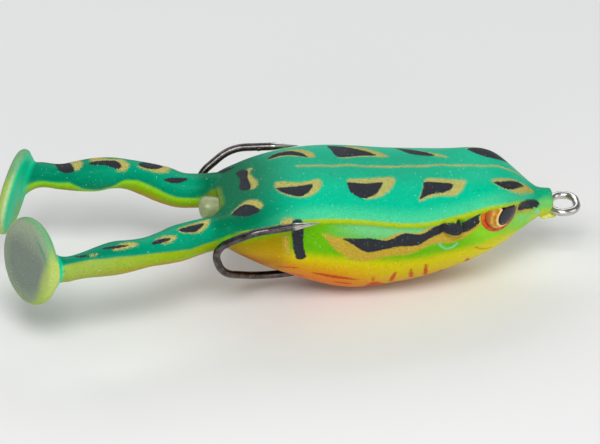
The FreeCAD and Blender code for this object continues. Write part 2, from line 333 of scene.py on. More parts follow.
def read_vectors(items, key):
    values = np.empty(len(items) * 3, np.float32)
    items.foreach_get(key, values)
    return values.reshape(-1, 3).astype(float)


def coords(me):
    return read_vectors(me.vertices, "co") * 1000.0


def set_coords(me, points):
    me.vertices.foreach_set("co", (points * MM).astype(np.float32).ravel())
    me.update()


def store(me, name, values):
    """keeps one number for each vertex"""
    me.attributes.new(name, 'FLOAT', 'POINT').data.foreach_set("value", values.astype(np.float32))


# ------------------------------------------------------- rings of the whole skin
def body_ring(x, section, angles, scale=1.0):
    y, z = section_point(section, angles)
    middle = (section[2] + section[3]) / 2
    return np.stack([np.full(len(angles), x), y * scale, middle + (z - middle) * scale], 1)


# x and scale of the rings that round off each end
NOSE_CAP = ((-2.62, .80), (-2.66, .92), (-2.82, .99), (-3.0, 1.015), (-3.2, 1.0))
TAIL_CAP = ((-68.75, .975), (-69.1, .93), (-69.4, .86), (-69.6, .75), (-69.7, .55))


def body_rings():
    angles = turn(220)
    stations = np.concatenate([np.linspace(NOSE_X, -12, 40), np.linspace(-12.2, -60, 180),
                               np.linspace(-60.3, TAIL_X, 36)])
    nose, tail = body_section(NOSE_X), body_section(TAIL_X)
    return ([body_ring(x, nose, angles, scale) for x, scale in NOSE_CAP]
            + [body_ring(x, body_section(x), angles) for x in stations]
            + [body_ring(x, tail, angles, scale) for x, scale in TAIL_CAP])


def leg_rings(side):
    angles = turn(72)
    out = []
    for centre, up, outward, radius, length in zip(LEG_CENTRE, LEG_UP, LEG_OUT,
                                                   LEG_RADIUS, LEG_LENGTH):
        # the calf swells towards the inside and below, the thigh towards the outside
        calf = 0.10 * gauss(length - 24.2, 3.4) * (0.5 - 0.5 * np.sin(angles + 0.5))
        thigh = 0.05 * gauss(length - 11.0, 4.0) * np.sin(angles)
        radii = radius * (1 + calf + thigh)
        out.append(mirror(circle(centre, up, outward, radii, angles), side))
    return out


# radius and distance forward of the sole plane, for the paddle and for its neck
PADDLE = ((5.0, 0.12), (6.6, 0.03), (7.5, 0.05), (7.95, 0.16), (8.28, 0.40), (8.50, 0.75),
          (8.60, 1.15), (8.55, 1.55), (8.35, 1.90), (8.0, 2.15), (7.4, 2.30), (6.6, 2.38),
          (5.6, 2.44), (4.6, 2.52))
NECK = ((4.9, 1.3), (4.35, 2.35), (3.75, 2.55), (3.25, 2.85), (2.90, 3.25), (2.66, 3.75),
        (2.52, 4.3), (2.42, 5.2), (2.36, 6.6))


def foot_rings(side):
    """two stacks, the paddle and the neck that joins it to the ankle"""
    angles = turn(120)
    arm = ANKLE - SOLE
    ankle_height = -float(arm @ SOLE_DIR)
    sideways = arm + SOLE_DIR * ankle_height
    join = SOLE + sideways * 0.62
    shin = LEG_DIR[-1]

    def ring(centre, axis, radius):
        return mirror(circle(centre, *across(unit(axis)), radius, angles), side)
    paddle = [ring(SOLE - SOLE_DIR * height, SOLE_DIR, radius) for radius, height in PADDLE]
    neck = []
    for radius, height in NECK:
        k = step(1.6, ankle_height, height)
        if height <= ankle_height:
            centre = join - SOLE_DIR * height + sideways * (0.38 * k)
        else:
            centre = ANKLE - shin * (height - ankle_height)
        neck.append(ring(centre, SOLE_DIR * (1 - k) + shin * k, radius))
    return paddle, neck


# -------------------------------------------------------------- painted outlines
def outlines(text):
    """one outline per paragraph, its points split by commas"""
    return [np.array(block.replace(",", " ").split(), float).reshape(-1, 2)
            for block in text.split("\n\n")]


# Points on the body are x and arc length from the back ridge, minus on the right.
# Markings along the back differ from side to side.
BLACK_BACK = outlines("""
-57.44 5.56, -56.42 6.82, -55.31 7.47, -53.92 7.68, -52.52 7.35, -51.32 6.33, -50.48 5.19,
-49.92 4.0, -49.55 3.09, -50.2 3.3, -51.13 3.98, -52.43 4.85, -53.54 5.34, -54.84 5.67,
-56.33 5.41

-45.37 9.25, -43.98 8.94, -42.31 8.75, -40.64 7.99, -39.06 6.98, -37.48 5.97, -36.46 4.91,
-36.18 4.26, -37.76 3.98, -39.52 3.81, -41.38 3.24, -43.15 2.73, -43.98 3.06, -44.54 4.05,
-44.72 6.26

-57.35 -4.75, -55.96 -5.22, -54.47 -5.53, -53.17 -5.85, -51.87 -5.82, -50.67 -5.7,
-50.02 -5.76, -50.29 -6.69, -50.94 -7.62, -51.69 -8.18, -52.62 -8.55, -53.45 -8.4,
-54.47 -7.89, -55.59 -7.06, -56.33 -6.3, -56.89 -5.51

-43.61 -5.51, -42.31 -5.57, -40.92 -5.74, -39.25 -5.7, -37.39 -5.18, -36.18 -5.07,
-36.92 -6.39, -37.57 -7.68, -38.41 -8.66, -39.52 -9.27, -40.82 -9.64, -41.85 -9.38,
-42.59 -8.75, -43.24 -8.01, -43.42 -6.99

-32.19 9.62, -30.05 8.42, -28.1 7.11, -26.53 5.91, -25.41 4.84, -24.67 3.64, -26.43 3.68,
-28.1 4.24, -29.68 5.1, -30.8 6.64

-18.63 5.85, -16.31 6.3, -13.99 7.64, -12.6 6.73, -11.39 5.73, -10.65 4.89, -10.0 4.41,
-11.3 3.39, -13.53 2.7, -15.66 3.25, -17.24 4.17

-28.29 -5.03, -26.06 -5.24, -24.3 -5.49, -22.72 -5.76, -23.18 -6.84, -24.02 -7.63,
-25.13 -7.97, -26.9 -8.18, -28.2 -8.53, -29.22 -9.19, -30.15 -9.56, -29.4 -8.37,
-28.85 -6.73, -28.57 -5.41

-15.38 -5.04, -13.62 -4.8, -11.95 -3.85, -10.46 -2.83, -9.26 -2.1, -8.42 -2.24,
-9.81 -4.04, -11.02 -5.3, -12.23 -6.07, -13.16 -6.11, -14.18 -5.77

-63.48 4.63, -63.11 5.56, -62.27 5.58, -61.34 4.46, -61.16 3.45, -61.62 2.13, -61.62 0.91,
-61.44 -0.75, -61.44 -2.13, -61.99 -2.54, -62.92 -2.15, -63.57 -1.35, -63.57 -0.16,
-63.2 0.73, -63.01 2.09, -63.2 3.31

-66.08 -6.87, -65.34 -6.38, -64.5 -6.03, -63.48 -5.9, -62.55 -6.44, -61.72 -7.35,
-60.79 -8.72, -60.79 -9.22, -61.72 -9.42, -62.64 -9.34, -63.76 -8.97, -65.06 -8.03,
-65.8 -7.3

-67.29 10.16, -66.26 10.11, -64.87 9.68, -63.01 8.45, -63.39 7.73, -64.41 7.6,
-65.61 7.72, -66.82 8.26, -67.47 8.48
""")
# Markings on both flanks are given once, on the right: an upright bar and a long band.
BLACK_FLANK = outlines("""
-55.22 -13.09, -53.82 -13.0, -52.8 -13.84, -52.71 -15.37, -52.89 -17.67, -52.8 -19.71,
-52.34 -21.72, -52.15 -22.69, -53.27 -23.3, -54.19 -22.73, -54.47 -21.31, -54.84 -19.28,
-55.12 -16.21

-45.65 -18.34, -43.8 -18.46, -41.94 -18.33, -40.08 -18.16, -38.6 -18.33, -37.48 -18.59,
-36.0 -18.28, -34.88 -17.39, -33.49 -16.52, -32.0 -16.71, -30.8 -16.87, -29.59 -16.75,
-28.48 -15.89, -27.45 -14.96, -25.78 -14.4, -23.83 -14.51, -22.35 -14.79, -21.42 -14.14,
-19.01 -12.4, -17.98 -11.81, -17.61 -11.86, -17.24 -13.29, -19.01 -15.19, -21.42 -16.82,
-22.91 -17.11, -24.3 -16.74, -26.25 -16.8, -27.92 -17.47, -29.13 -18.47, -30.61 -19.48,
-32.19 -19.73, -33.86 -19.7, -35.81 -20.18, -38.13 -21.14, -39.99 -21.68, -41.2 -21.52,
-42.4 -20.67, -43.8 -19.49, -45.19 -18.75
""")
BLACK_SNOUT = outlines("""
-10.18 -7.61, -9.81 -6.79, -8.05 -4.91, -6.38 -3.4, -5.54 -3.25, -6.38 -4.54, -7.4 -5.73,
-9.35 -7.95, -10.46 -9.3
""")
GOLD_BACK = outlines("""
-57.17 5.31, -56.05 7.01, -54.57 7.8, -53.17 8.01, -52.15 7.99, -50.48 7.35, -49.27 6.33,
-48.53 5.03, -48.16 3.39, -48.53 2.89, -49.37 2.99, -50.2 3.14, -52.43 4.44, -53.64 4.94,
-54.94 5.17, -56.33 5.16

-42.22 9.41, -39.62 9.23, -37.2 7.78, -35.72 6.28, -34.51 5.06, -33.58 3.8, -35.25 3.53,
-36.27 3.7, -39.62 3.36, -41.38 2.91, -43.24 2.45, -43.98 2.84, -42.03 4.56

-57.17 -3.09, -55.77 -3.51, -53.36 -4.79, -51.97 -4.91, -50.57 -4.88, -49.46 -4.59,
-48.62 -4.55, -48.25 -5.19, -48.53 -6.4, -49.09 -7.53, -50.02 -8.32, -51.13 -8.76,
-52.52 -8.89, -53.54 -8.56, -54.66 -8.11, -55.77 -7.15, -56.52 -6.34, -57.26 -4.91

-43.42 -5.51, -43.15 -4.71, -42.5 -4.45, -38.97 -4.3, -35.81 -3.65, -34.42 -3.47,
-33.77 -3.96, -34.33 -5.75, -35.44 -7.44, -36.46 -8.4, -38.04 -9.29, -39.8 -9.7,
-40.82 -9.77, -41.38 -8.49

-28.1 7.25, -26.53 6.06, -25.13 5.17, -23.74 4.48, -22.72 3.63, -22.35 2.77, -23.46 3.13,
-24.76 3.39, -26.34 4.35

-18.73 5.87, -17.8 6.41, -16.03 8.22, -14.55 8.04, -13.43 7.43, -12.51 6.7, -11.39 5.73,
-10.56 4.94, -9.91 4.31, -10.18 4.31, -11.11 5.47, -12.51 6.68, -14.08 6.68, -16.31 5.86

-28.38 -5.09, -27.92 -4.18, -26.9 -4.02, -25.04 -4.22, -22.91 -4.56, -21.14 -4.65,
-20.12 -4.73, -20.58 -6.01, -21.23 -7.14, -22.07 -8.22, -23.28 -8.75, -24.76 -8.72,
-26.53 -8.82, -27.83 -9.06, -28.75 -9.4, -29.59 -9.85, -30.24 -9.61, -29.4 -8.37,
-28.85 -6.73

-15.48 -5.06, -15.2 -4.56, -14.08 -4.0, -12.32 -3.42, -10.65 -2.48, -9.44 -1.98,
-8.14 -1.6, -7.03 -1.3, -6.29 -1.68, -7.86 -3.17, -9.44 -5.02, -10.93 -5.94,
-12.04 -6.13, -13.16 -6.26, -14.18 -5.83

-61.53 5.04, -60.04 4.2, -60.6 3.62, -61.16 3.39, -60.88 1.5, -60.51 0.11, -60.14 -0.87,
-60.14 -2.37, -60.97 -2.77, -61.72 -2.75, -62.18 -1.33, -61.9 1.44, -61.62 3.17

-66.17 -6.61, -64.96 -5.92, -63.76 -5.37, -62.55 -5.18, -61.53 -5.77, -60.69 -6.61,
-59.86 -8.04, -60.32 -8.55, -60.88 -8.75, -61.81 -7.94, -62.64 -7.01, -63.57 -6.52,
-65.43 -6.99
""")
# both flanks: top of the bar, the long band, the edge of the snout marking
GOLD_FLANK = outlines("""
-57.35 -13.09, -56.89 -12.33, -55.4 -12.46, -54.57 -12.84, -54.84 -13.54, -55.49 -13.91,
-56.89 -13.6

-49.55 -16.78, -48.25 -17.36, -46.86 -18.05, -45.65 -18.25, -42.87 -18.59, -38.6 -18.52,
-37.2 -18.31, -36.09 -17.42, -34.6 -16.54, -33.49 -16.44, -32.0 -16.55, -30.8 -16.56,
-29.87 -16.16, -28.66 -15.31, -27.73 -14.86, -25.78 -15.58, -21.88 -15.99, -19.93 -14.32,
-17.98 -13.27, -16.78 -13.68, -17.52 -14.68, -19.01 -15.81, -20.4 -16.87, -21.42 -17.82,
-22.35 -18.37, -23.83 -19.1, -25.23 -19.15, -26.43 -18.96, -28.2 -19.38, -29.59 -20.13,
-30.98 -21.15, -32.65 -21.85, -34.33 -22.12, -36.18 -22.32, -38.04 -23.04, -39.71 -23.8,
-41.38 -24.15, -43.24 -23.87, -44.63 -23.03, -46.12 -21.74, -47.51 -20.08, -48.72 -18.2

-10.74 -9.92, -10.46 -9.03, -8.14 -6.49, -6.94 -5.09, -7.21 -6.36, -9.07 -8.7,
-10.74 -10.58
""")
# lower part of the bar, on the right only
GOLD_RIGHT = outlines("""
-57.63 -15.28, -56.7 -15.35, -55.03 -15.63, -54.84 -19.28, -54.29 -22.38, -54.84 -22.64,
-56.33 -22.26, -57.35 -19.46
""")
# both sides of the belly
RED_BELLY = outlines("""
-51.59 -27.49, -48.9 -27.86, -46.49 -28.57, -43.89 -29.12, -41.29 -30.05, -43.42 -30.08,
-46.4 -29.77, -48.81 -28.95

-47.05 -31.2, -44.72 -31.2, -42.12 -32.18, -44.63 -32.31

-40.82 -34.93, -39.9 -31.94, -38.6 -30.43, -36.55 -32.13, -36.18 -33.64, -38.69 -34.64

-39.15 -28.08, -38.6 -30.27, -39.25 -30.84

-34.6 -26.38, -34.6 -28.41, -35.16 -31.7, -35.9 -30.56, -35.35 -27.92

-31.82 -25.58, -31.26 -27.27, -31.08 -30.02, -31.82 -29.92, -32.1 -27.21

-28.85 -24.22, -28.38 -25.85, -28.1 -30.92, -29.13 -29.12, -29.22 -25.7

-25.5 -27.83, -24.76 -29.56, -25.6 -29.92, -25.88 -29.03

-20.31 -24.1, -19.56 -26.3, -20.4 -27.57, -20.96 -25.83
""")
# straight red streaks low on both sides of the belly: two ends and half width
RED_STREAKS = (
    ((-22.5, -30.0), (-22.0, -34.0), .30), ((-26.8, -33.0), (-26.9, -36.5), .26),
    ((-31.0, -33.5), (-30.2, -37.5), .30), ((-34.0, -35.5), (-33.6, -38.0), .24),
    ((-42.5, -35.0), (-44.0, -37.6), .30), ((-47.5, -34.2), (-50.0, -34.8), .28),
    ((-52.5, -29.6), (-55.5, -28.8), .30), ((-54.0, -25.8), (-57.5, -25.0), .26),
    ((-17.0, -27.0), (-16.4, -29.5), .24))
# open lines: stripe down the back, arc under the ear drum, corner of the mouth
STRIPE, EAR_ARC, MOUTH = outlines("""
-52.15 0.28, -50.29 -0.06, -47.42 -0.34, -45.1 -0.51, -42.12 0.06, -39.62 -0.29,
-35.9 -0.12, -33.21 -0.17, -30.8 0.0, -27.92 -0.22, -24.3 0.1, -22.07 -0.2, -19.01 -0.09,
-16.31 -0.44, -13.06 0.19, -11.11 0.16, -8.33 1.24

-26.53 -18.76, -26.06 -19.92, -24.95 -20.64, -23.74 -20.25, -22.81 -19.19

-18.91 -20.61, -18.08 -21.31, -17.06 -21.86, -15.66 -21.82
""")

# Points on a leg are length along it and angle from its top towards the outside.
LEG_BLACK = {1: outlines("""
33.12 0.576, 31.44 0.559, 29.79 0.401, 28.77 -0.401, 28.77 -0.768, 30.68 -0.733,
32.14 -0.436

26.12 -0.244, 24.81 -0.087, 22.73 -0.122, 21.08 -0.052, 19.97 -0.262, 19.55 -0.593,
20.38 -0.785, 21.91 -0.628, 23.56 -0.471, 25.36 -0.436

16.87 -0.105, 16.41 0.332, 14.87 0.576, 13.53 0.646, 11.75 0.244, 12.94 -0.175,
14.73 -0.262, 16.1 -0.227

11.01 -0.646, 9.7 -0.384, 7.68 -0.175, 5.48 -0.192, 6.51 -0.454, 8.11 -0.646, 9.56 -0.681
"""), -1: outlines("""
12.49 0.157, 10.58 0.175, 7.68 0.157, 5.03 0.157, 6.36 0.506, 8.69 0.663, 10.58 0.611,
11.9 0.419

18.99 0.541, 18.26 0.314, 16.41 0.279, 14.43 0.524, 15.48 0.646, 17.33 0.628

28.14 0.0, 25.49 0.122, 22.32 0.14, 23.01 0.332, 25.36 0.367, 26.88 0.279

33.96 -0.087, 32.56 -0.122, 29.92 0.349, 31.86 0.332
""")}
LEG_GOLD = {1: outlines("""
29.79 0.559, 27.64 0.576, 26.88 -0.244, 27.51 -0.559, 28.77 -0.646, 29.16 -0.192

25.74 -0.122, 25.61 0.349, 23.84 0.576, 22.46 0.017, 20.24 0.262, 18.99 0.017,
18.1 -0.401, 18.56 -0.768, 19.83 -0.89, 20.8 -0.82, 19.97 -0.471, 22.46 -0.175

16.72 -0.175, 16.56 -0.297, 14.13 -0.384, 11.6 -0.314, 10.43 -0.052, 10.72 0.471,
11.9 0.628, 13.53 0.628, 14.28 0.052
"""), -1: outlines("""
12.64 0.14, 10.29 0.07, 7.39 0.035, 3.89 -0.122, 4.26 0.227, 5.77 0.681, 9.41 0.75,
12.04 0.489

17.95 0.297, 16.87 0.175, 15.33 0.192, 13.39 0.506, 13.83 0.698, 16.1 0.768, 17.03 0.593

24.12 0.052, 23.01 -0.087, 21.63 0.0, 20.66 0.279, 22.46 0.471, 25.22 0.506, 25.74 0.401

30.43 0.209, 28.52 0.401, 29.41 0.471, 30.3 0.436
""")}
# where the green top of both legs ends, on the inner and on the outer face
LEG_INNER_EDGE, LEG_OUTER_EDGE = outlines("""
5.33 -1.326, 7.83 -1.292, 9.99 -1.169, 12.64 -1.065, 15.64 -1.047, 18.56 -1.292,
21.36 -1.937, 24.39 -2.548, 27.26 -1.885, 29.92 -1.326, 32.7 -1.414

7.24 1.466, 11.45 1.501, 16.1 1.292, 19.97 1.117, 23.42 0.995, 27.51 0.89, 30.81 0.663,
34.52 0.593
""")
LEG_INNER_EDGE[:, 1] = np.maximum(LEG_INNER_EDGE[:, 1] - 0.14, -2.2)

# --------------------------------------------------------- distances to outlines
FAR = 9.0


def segment_distance(points, start, edge):
    along = np.clip(((points - start) @ edge) / max(float(edge @ edge), 1e-9), 0, 1)
    return np.linalg.norm(points - start - along[:, None] * edge, axis=1)


def line_distance(points, line):
    """distance to an open line, at most FAR"""
    line = np.asarray(line, float)
    best = np.full(len(points), FAR)
    for start, end in zip(line[:-1], line[1:]):
        best = np.minimum(best, segment_distance(points, start, end - start))
    return best


def outline_distance(points, outline):
    """signed distance to a closed outline, minus inside; FAR beyond its surroundings"""
    out = np.full(len(points), FAR)
    low, high = outline.min(0) - 3.0, outline.max(0) + 3.0
    close = np.all((points > low) & (points < high), axis=1)
    if not close.any():
        return out
    near = points[close]
    best = np.full(len(near), 1e9)
    inside = np.zeros(len(near), bool)
    for start, end in zip(outline, np.roll(outline, -1, axis=0)):
        edge = end - start
        best = np.minimum(best, segment_distance(near, start, edge))
        crosses = (start[1] > near[:, 1]) != (end[1] > near[:, 1])
        rise = edge[1] if abs(edge[1]) > 1e-12 else 1e-12
        inside ^= crosses & (near[:, 0] < start[0] + (near[:, 1] - start[1]) * edge[0] / rise)
    out[close] = np.where(inside, -best, best)
    return out


def rounded(outline, rounds):
    """outline with its corners eased"""
    for _ in range(rounds):
        after = np.roll(outline, -1, axis=0)
        outline = np.stack([0.75 * outline + 0.25 * after,
                            0.25 * outline + 0.75 * after], 1).reshape(-1, 2)
    return outline


def nearest(points, shapes, rounds=3):
    return np.minimum.reduce([outline_distance(points, rounded(s, rounds)) for s in shapes])


# ------------------------------------------------------------------ ground colours
def srgb(r, g, b):
    c = np.array([r, g, b], float) / 255.0
    return np.where(c <= 0.04045, c / 12.92, ((c + 0.055) / 1.055) ** 2.4)


def mix(base, coat, mask):
    return base + (coat - base) * np.asarray(mask)[:, None]


def fill(points, colour):
    return np.tile(colour, (len(points), 1))


TEAL_TOP, TEAL_MID, TEAL_LOW = srgb(2, 168, 128), srgb(6, 184, 142), srgb(92, 200, 140)
# the darker tail teal is painted shade on the back towards the tail
TEAL_TAIL_SHADE, TEAL_HEAD = srgb(0, 112, 70), srgb(0, 186, 142)
FLANK_LINE = srgb(160, 184, 4)
# the pale sea green of the mid flank is a painted highlight
LIME, LIME_HEAD, SEA_HIGHLIGHT = srgb(100, 176, 8), srgb(138, 205, 40), srgb(112, 200, 138)
YELLOW, AMBER = srgb(204, 194, 0), srgb(212, 150, 2)
ORANGE, JAW = srgb(222, 112, 4), srgb(216, 210, 0)
# attributes that hold the distance to each paint: black, gold, red, sea green, orange
PAINTS = ('blk', 'gld', 'red', 'cyn', 'orr')


def body_ground(points):
    x = points[:, 0]
    arc, flank, _ = skin_place(points)
    # the back above the flank line
    col = mix(fill(points, TEAL_TOP), TEAL_MID, step(2.0, 7.5, arc))
    # painted shade: the back darkens towards the tail
    col = mix(col, TEAL_TAIL_SHADE, step(-50, -64, x) * 0.85)
    col = mix(col, TEAL_HEAD, step(-30, -16, x) * 0.8)
    col = mix(col, TEAL_LOW, step(-4.2, -0.4, flank) * step(-62, -50, x) * 0.6
              * (1 - 0.6 * step(-16, -9, x)))
    # painted shade: the top of the back is darker still towards the tail
    col = col * (1 - 0.26 * step(-53, -64, x) * step(-0.5, -3.0, flank))[:, None]
    # the flank: lime, with a painted highlight of pale sea green in the middle, and sea green on
    # the snout
    low = mix(fill(points, LIME), LIME_HEAD, step(-24, -15, x))
    # painted highlight: pale sea green just below the flank line
    low = mix(low, SEA_HIGHLIGHT, gauss(flank - 1.8, 2.0) * step(-50, -40, x)
              * (1 - step(-26, -22, x)) * 0.85)
    low = mix(low, srgb(120, 205, 120), gauss(flank - 3.2, 2.4) * gauss(x + 9.0, 4.0) * 0.6)
    # the belly: yellow to orange, below an edge that rises towards the tail
    front = step(-50, -34, x)
    edge = 9.2 - 1.2 * step(-40, -24, x) - 4.2 * gauss(x + 62, 9)
    low = mix(low, YELLOW, step(edge - 1.8, edge + 1.2, flank))
    low = mix(low, AMBER, step(edge + 0.2, edge + 4.5, flank) * (1 - 0.75 * front))
    low = mix(low, ORANGE, step(edge + 3.0, edge + 9.0, flank) * (0.85 - 0.35 * front))
    low = mix(low, JAW, step(-30, -14, x) * step(7.0, 10.5, flank) * 0.8)
    # brown towards the tail, with a darker slanting smear
    low = mix(low, srgb(176, 128, 2), step(-53.5, -58.0, x) * step(0.6, 3.0, flank) * 0.8)
    low = mix(low, srgb(150, 74, 4), step(-56.0, -61.0, x) * 0.6
              * gauss(flank - 9.5 + 0.55 * (-60 - x).clip(0, 9), 1.6))
    col = mix(col, low, step(-0.35, 0.35, flank))
    # nose: yellow below, through green to teal above
    height = (points[:, 2] - 1.0) / 2.6
    nose = mix(fill(points, srgb(200, 196, 20)), srgb(110, 186, 90), step(-0.75, 0.30, height))
    nose = mix(nose, srgb(4, 160, 112), step(0.45, 0.95, height))
    col = mix(col, nose, step(-8.6, -5.2, x) * 0.9)
    # flank line
    width = 0.56 + 0.16 * step(-30, -22, x)
    line = ((1 - step(width * 0.7, width * 1.2, np.abs(flank + 0.05)))
            * step(-67, -63, x) * (1 - step(-8.2, -6.0, x)))
    col = mix(col, FLANK_LINE, line * 0.95)
    # olive round the tail plug; painted shade: dark green in the valley round the tail and at the
    # leg roots
    from_plug = np.hypot(points[:, 1], points[:, 2] - 5.4)
    col = mix(col, srgb(128, 150, 10), (1 - step(3.4, 4.8, from_plug)) * step(-66.2, -67.4, x))
    return mix(col, srgb(0, 105, 70), gauss(x + 67.8, 2.2) * gauss(arc, 5.5) * 0.42)


def body_paints(points):
    """signed distance to each paint"""
    x = points[:, 0]
    arc, flank, _ = skin_place(points)
    on_skin = np.stack([x, np.where(points[:, 1] > 0, 1.0, -1.0) * arc], 1)
    folded = np.stack([x, -arc], 1)     # both sides laid over the right one
    blk = np.minimum.reduce([nearest(on_skin, BLACK_BACK), nearest(folded, BLACK_FLANK),
                             nearest(folded, BLACK_SNOUT) - 0.22])
    waver = 0.06 * np.sin(x * 1.3) * np.cos(x * .47)
    gld = np.minimum.reduce([nearest(on_skin, GOLD_BACK), nearest(folded, GOLD_FLANK),
                             nearest(on_skin, GOLD_RIGHT) + 0.75,
                             line_distance(on_skin, STRIPE) - 0.27 - waver])
    red = np.minimum.reduce([nearest(folded, RED_BELLY, rounds=2)]
                            + [line_distance(folded, (start, end)) - half_width
                               for start, end, half_width in RED_STREAKS]
                            + [line_distance(folded, MOUTH) - 0.13])
    # sea green: the arc under the ear drum and a ring round the nostril
    cyn = np.minimum(line_distance(folded, EAR_ARC) - 0.22,
                     np.abs(nostril_distance(x, arc) - 0.86) - 0.26)
    # ear drum: dark disc with gold under it
    ear = ear_distance(x, arc)
    gld = np.minimum(gld, np.maximum(ear - 2.1, 16.1 - arc))
    blk = np.maximum(blk, np.minimum(arc - 16.2, 1.9 - ear))
    blk = np.minimum(blk, np.maximum(ear - 1.75, arc - 16.3))
    over_ear = np.hypot((x + 24.0) * 0.85, arc - 14.7)
    blk = np.minimum(blk, np.maximum(over_ear - 1.6, 0.40 - flank))
    # orange rim of the eye, kept clear of black and gold
    from_eye, eye_height = eye_place(points)
    rim = np.where((eye_height > -4) & (flank > 0.25), from_eye - 4.35, FAR)
    blk = np.where(rim < 0.25, np.maximum(blk, 0.6), blk)
    gld = np.where(rim < 0.1, FAR, gld)
    return dict(blk=blk, gld=gld, red=red, cyn=cyn, orr=rim)


def leg_paint(points, side):
    """ground colour, distance to each paint, and length along the leg"""
    length, angle = leg_place(points, side)
    radius = np.interp(length, LEG_LENGTH, LEG_RADIUS)
    # distance above the edge of the green top
    above = radius * np.where(angle > 0, np.interp(length, *LEG_OUTER_EDGE.T) - angle,
                              angle - np.interp(length, *LEG_INNER_EDGE.T))
    col = mix(fill(points, srgb(0, 136, 100)), srgb(2, 156, 116), step(0.0, 3.0, above) * 0.8)
    col = mix(col, srgb(0, 116, 78), (1 - step(1.0, 7.0, length)) * 0.8)
    # olive below, paler towards the ankle outside, lime along the inner edge, brown beneath
    pale = step(13, 32, length) * (angle > 0)
    low = mix(fill(points, srgb(138, 168, 4)), srgb(146, 170, 70), pale)
    low = mix(low, srgb(140, 205, 30), (1 - step(0.2, 1.6, -above)) * (angle < 0))
    low = mix(low, srgb(172, 140, 4), step(1.6, 3.2, -above) * (1 - 0.8 * pale))
    low = mix(low, srgb(176, 100, 6), step(2.8, 5.0, -above) * (1 - step(6, 20, length)) * 0.7)
    col = mix(col, low, 1 - step(-0.25, 0.3, above))
    col = col * (1 - 0.22 * step(18, 26, length) * step(0.3, 0.9, above))[:, None]

    paints = {name: np.full(len(points), FAR) for name in PAINTS}
    on_skin = np.stack([length, angle * radius], 1)
    for name, table in (('blk', LEG_BLACK), ('gld', LEG_GOLD)):
        shapes = [np.column_stack([s[:, 0], s[:, 1] * np.interp(s[:, 0], LEG_LENGTH, LEG_RADIUS)])
                  for s in table[side]]
        paints[name] = nearest(on_skin, shapes)
    return col, paints, length


def foot_paint(points, side):
    """ground colour of a paddle foot, and distance forward of its sole plane"""
    offset = mirror(points, side) - SOLE
    height = -(offset @ SOLE_DIR)
    flat = offset + height[:, None] * SOLE_DIR
    radius = np.linalg.norm(flat, axis=1)
    up, outward = across(SOLE_DIR)
    angle = np.arctan2(flat @ outward, flat @ up)    # 0 at the top, plus to the outside
    sole = mix(fill(points, srgb(122, 134, 122)), srgb(138, 152, 128), step(4.5, 7.5, radius))
    sole = mix(sole, srgb(158, 172, 146), step(1.0, 7.0, flat @ up) * 0.75)
    top = 0.5 + 0.5 * np.cos(angle - 0.15)           # 1 at the top of the paddle
    rim = mix(fill(points, srgb(150, 182, 60)), srgb(178, 196, 104),
              gauss(np.abs(angle) - 1.6, 0.8))
    rim = mix(rim, srgb(112, 166, 116), step(0.72, 0.95, top))
    rim = mix(rim, srgb(22, 178, 128), step(1.9, 2.3, height) * step(0.3, 0.6, top))
    front = mix(fill(points, srgb(6, 205, 152)), srgb(120, 182, 70),
                (1 - step(0.02, 0.22, top)) * 0.7)
    # the rim colour creeps in over the sole, and a green streak curves inside its edge
    reach = 7.5 - 3.0 * gauss(angle - 1.75, 0.75) - 0.9 * gauss(angle + 2.9, 0.9)
    col = mix(sole, rim, step(0.0, 2.4, radius - reach) * 0.9)
    streak = gauss(radius - 6.9 + 0.5 * np.sin(3 * angle), 0.42) * gauss(angle - 0.75, 0.42)
    col = mix(col, srgb(40, 150, 112), streak * 0.75 * step(-0.2, 0.25, 0.8 - height))
    col = mix(col, rim, step(0.15, 0.6, height))
    col = mix(col, front, step(1.7, 2.2, height))
    # painted highlight: a pale streak round the inner side of the rim
    pale = gauss(height - 1.55, 0.22) * gauss(angle + 1.3, 0.8) * 0.75
    return mix(col, srgb(178, 222, 204), pale), height


def paint(me):
    """stores the ground colour and the paint distances on a piece of the skin"""
    points = coords(me)
    x = points[:, 0]
    col, paints = body_ground(points), body_paints(points)
    for side, _ in SIDES:
        here = (x < -64.0) & (points[:, 1] * side > 0)
        if here.any():
            leg_col, leg_paints, length = leg_paint(points[here], side)
            col[here] = mix(col[here], leg_col, step(2.0, 5.0, length))
            for name in PAINTS:
                paints[name][here] = np.where(x[here] < -68.2, leg_paints[name],
                                              paints[name][here])
        here = (x < -97.0) & (points[:, 1] * side > 0)
        if here.any():
            foot_col, height = foot_paint(points[here], side)
            col[here] = mix(col[here], foot_col, 1 - step(2.5, 3.6, height))
    # unpainted plastic inside the hollow and in the bores
    section = body_section(np.clip(x, TAIL_X, NOSE_X))
    y, z = section_point(section, skin_place(points)[2])
    depth = (np.hypot(points[:, 1], points[:, 2] - section[:, 1])
             / np.hypot(y, z - section[:, 1]))
    inner = (1 - step(0.86, 0.93, depth)) * step(-66.0, -65.0, x) * (1 - step(-4.4, -4.0, x))
    col = mix(col, srgb(176, 190, 96), inner)
    ground = me.color_attributes.new("ground", 'FLOAT_COLOR', 'POINT')
    rgba = np.concatenate([col, np.ones((len(col), 1))], 1)
    ground.data.foreach_set("color", rgba.astype(np.float32).ravel())
    for name in PAINTS:
        store(me, name, np.where(inner > 0.3, FAR, paints[name]))


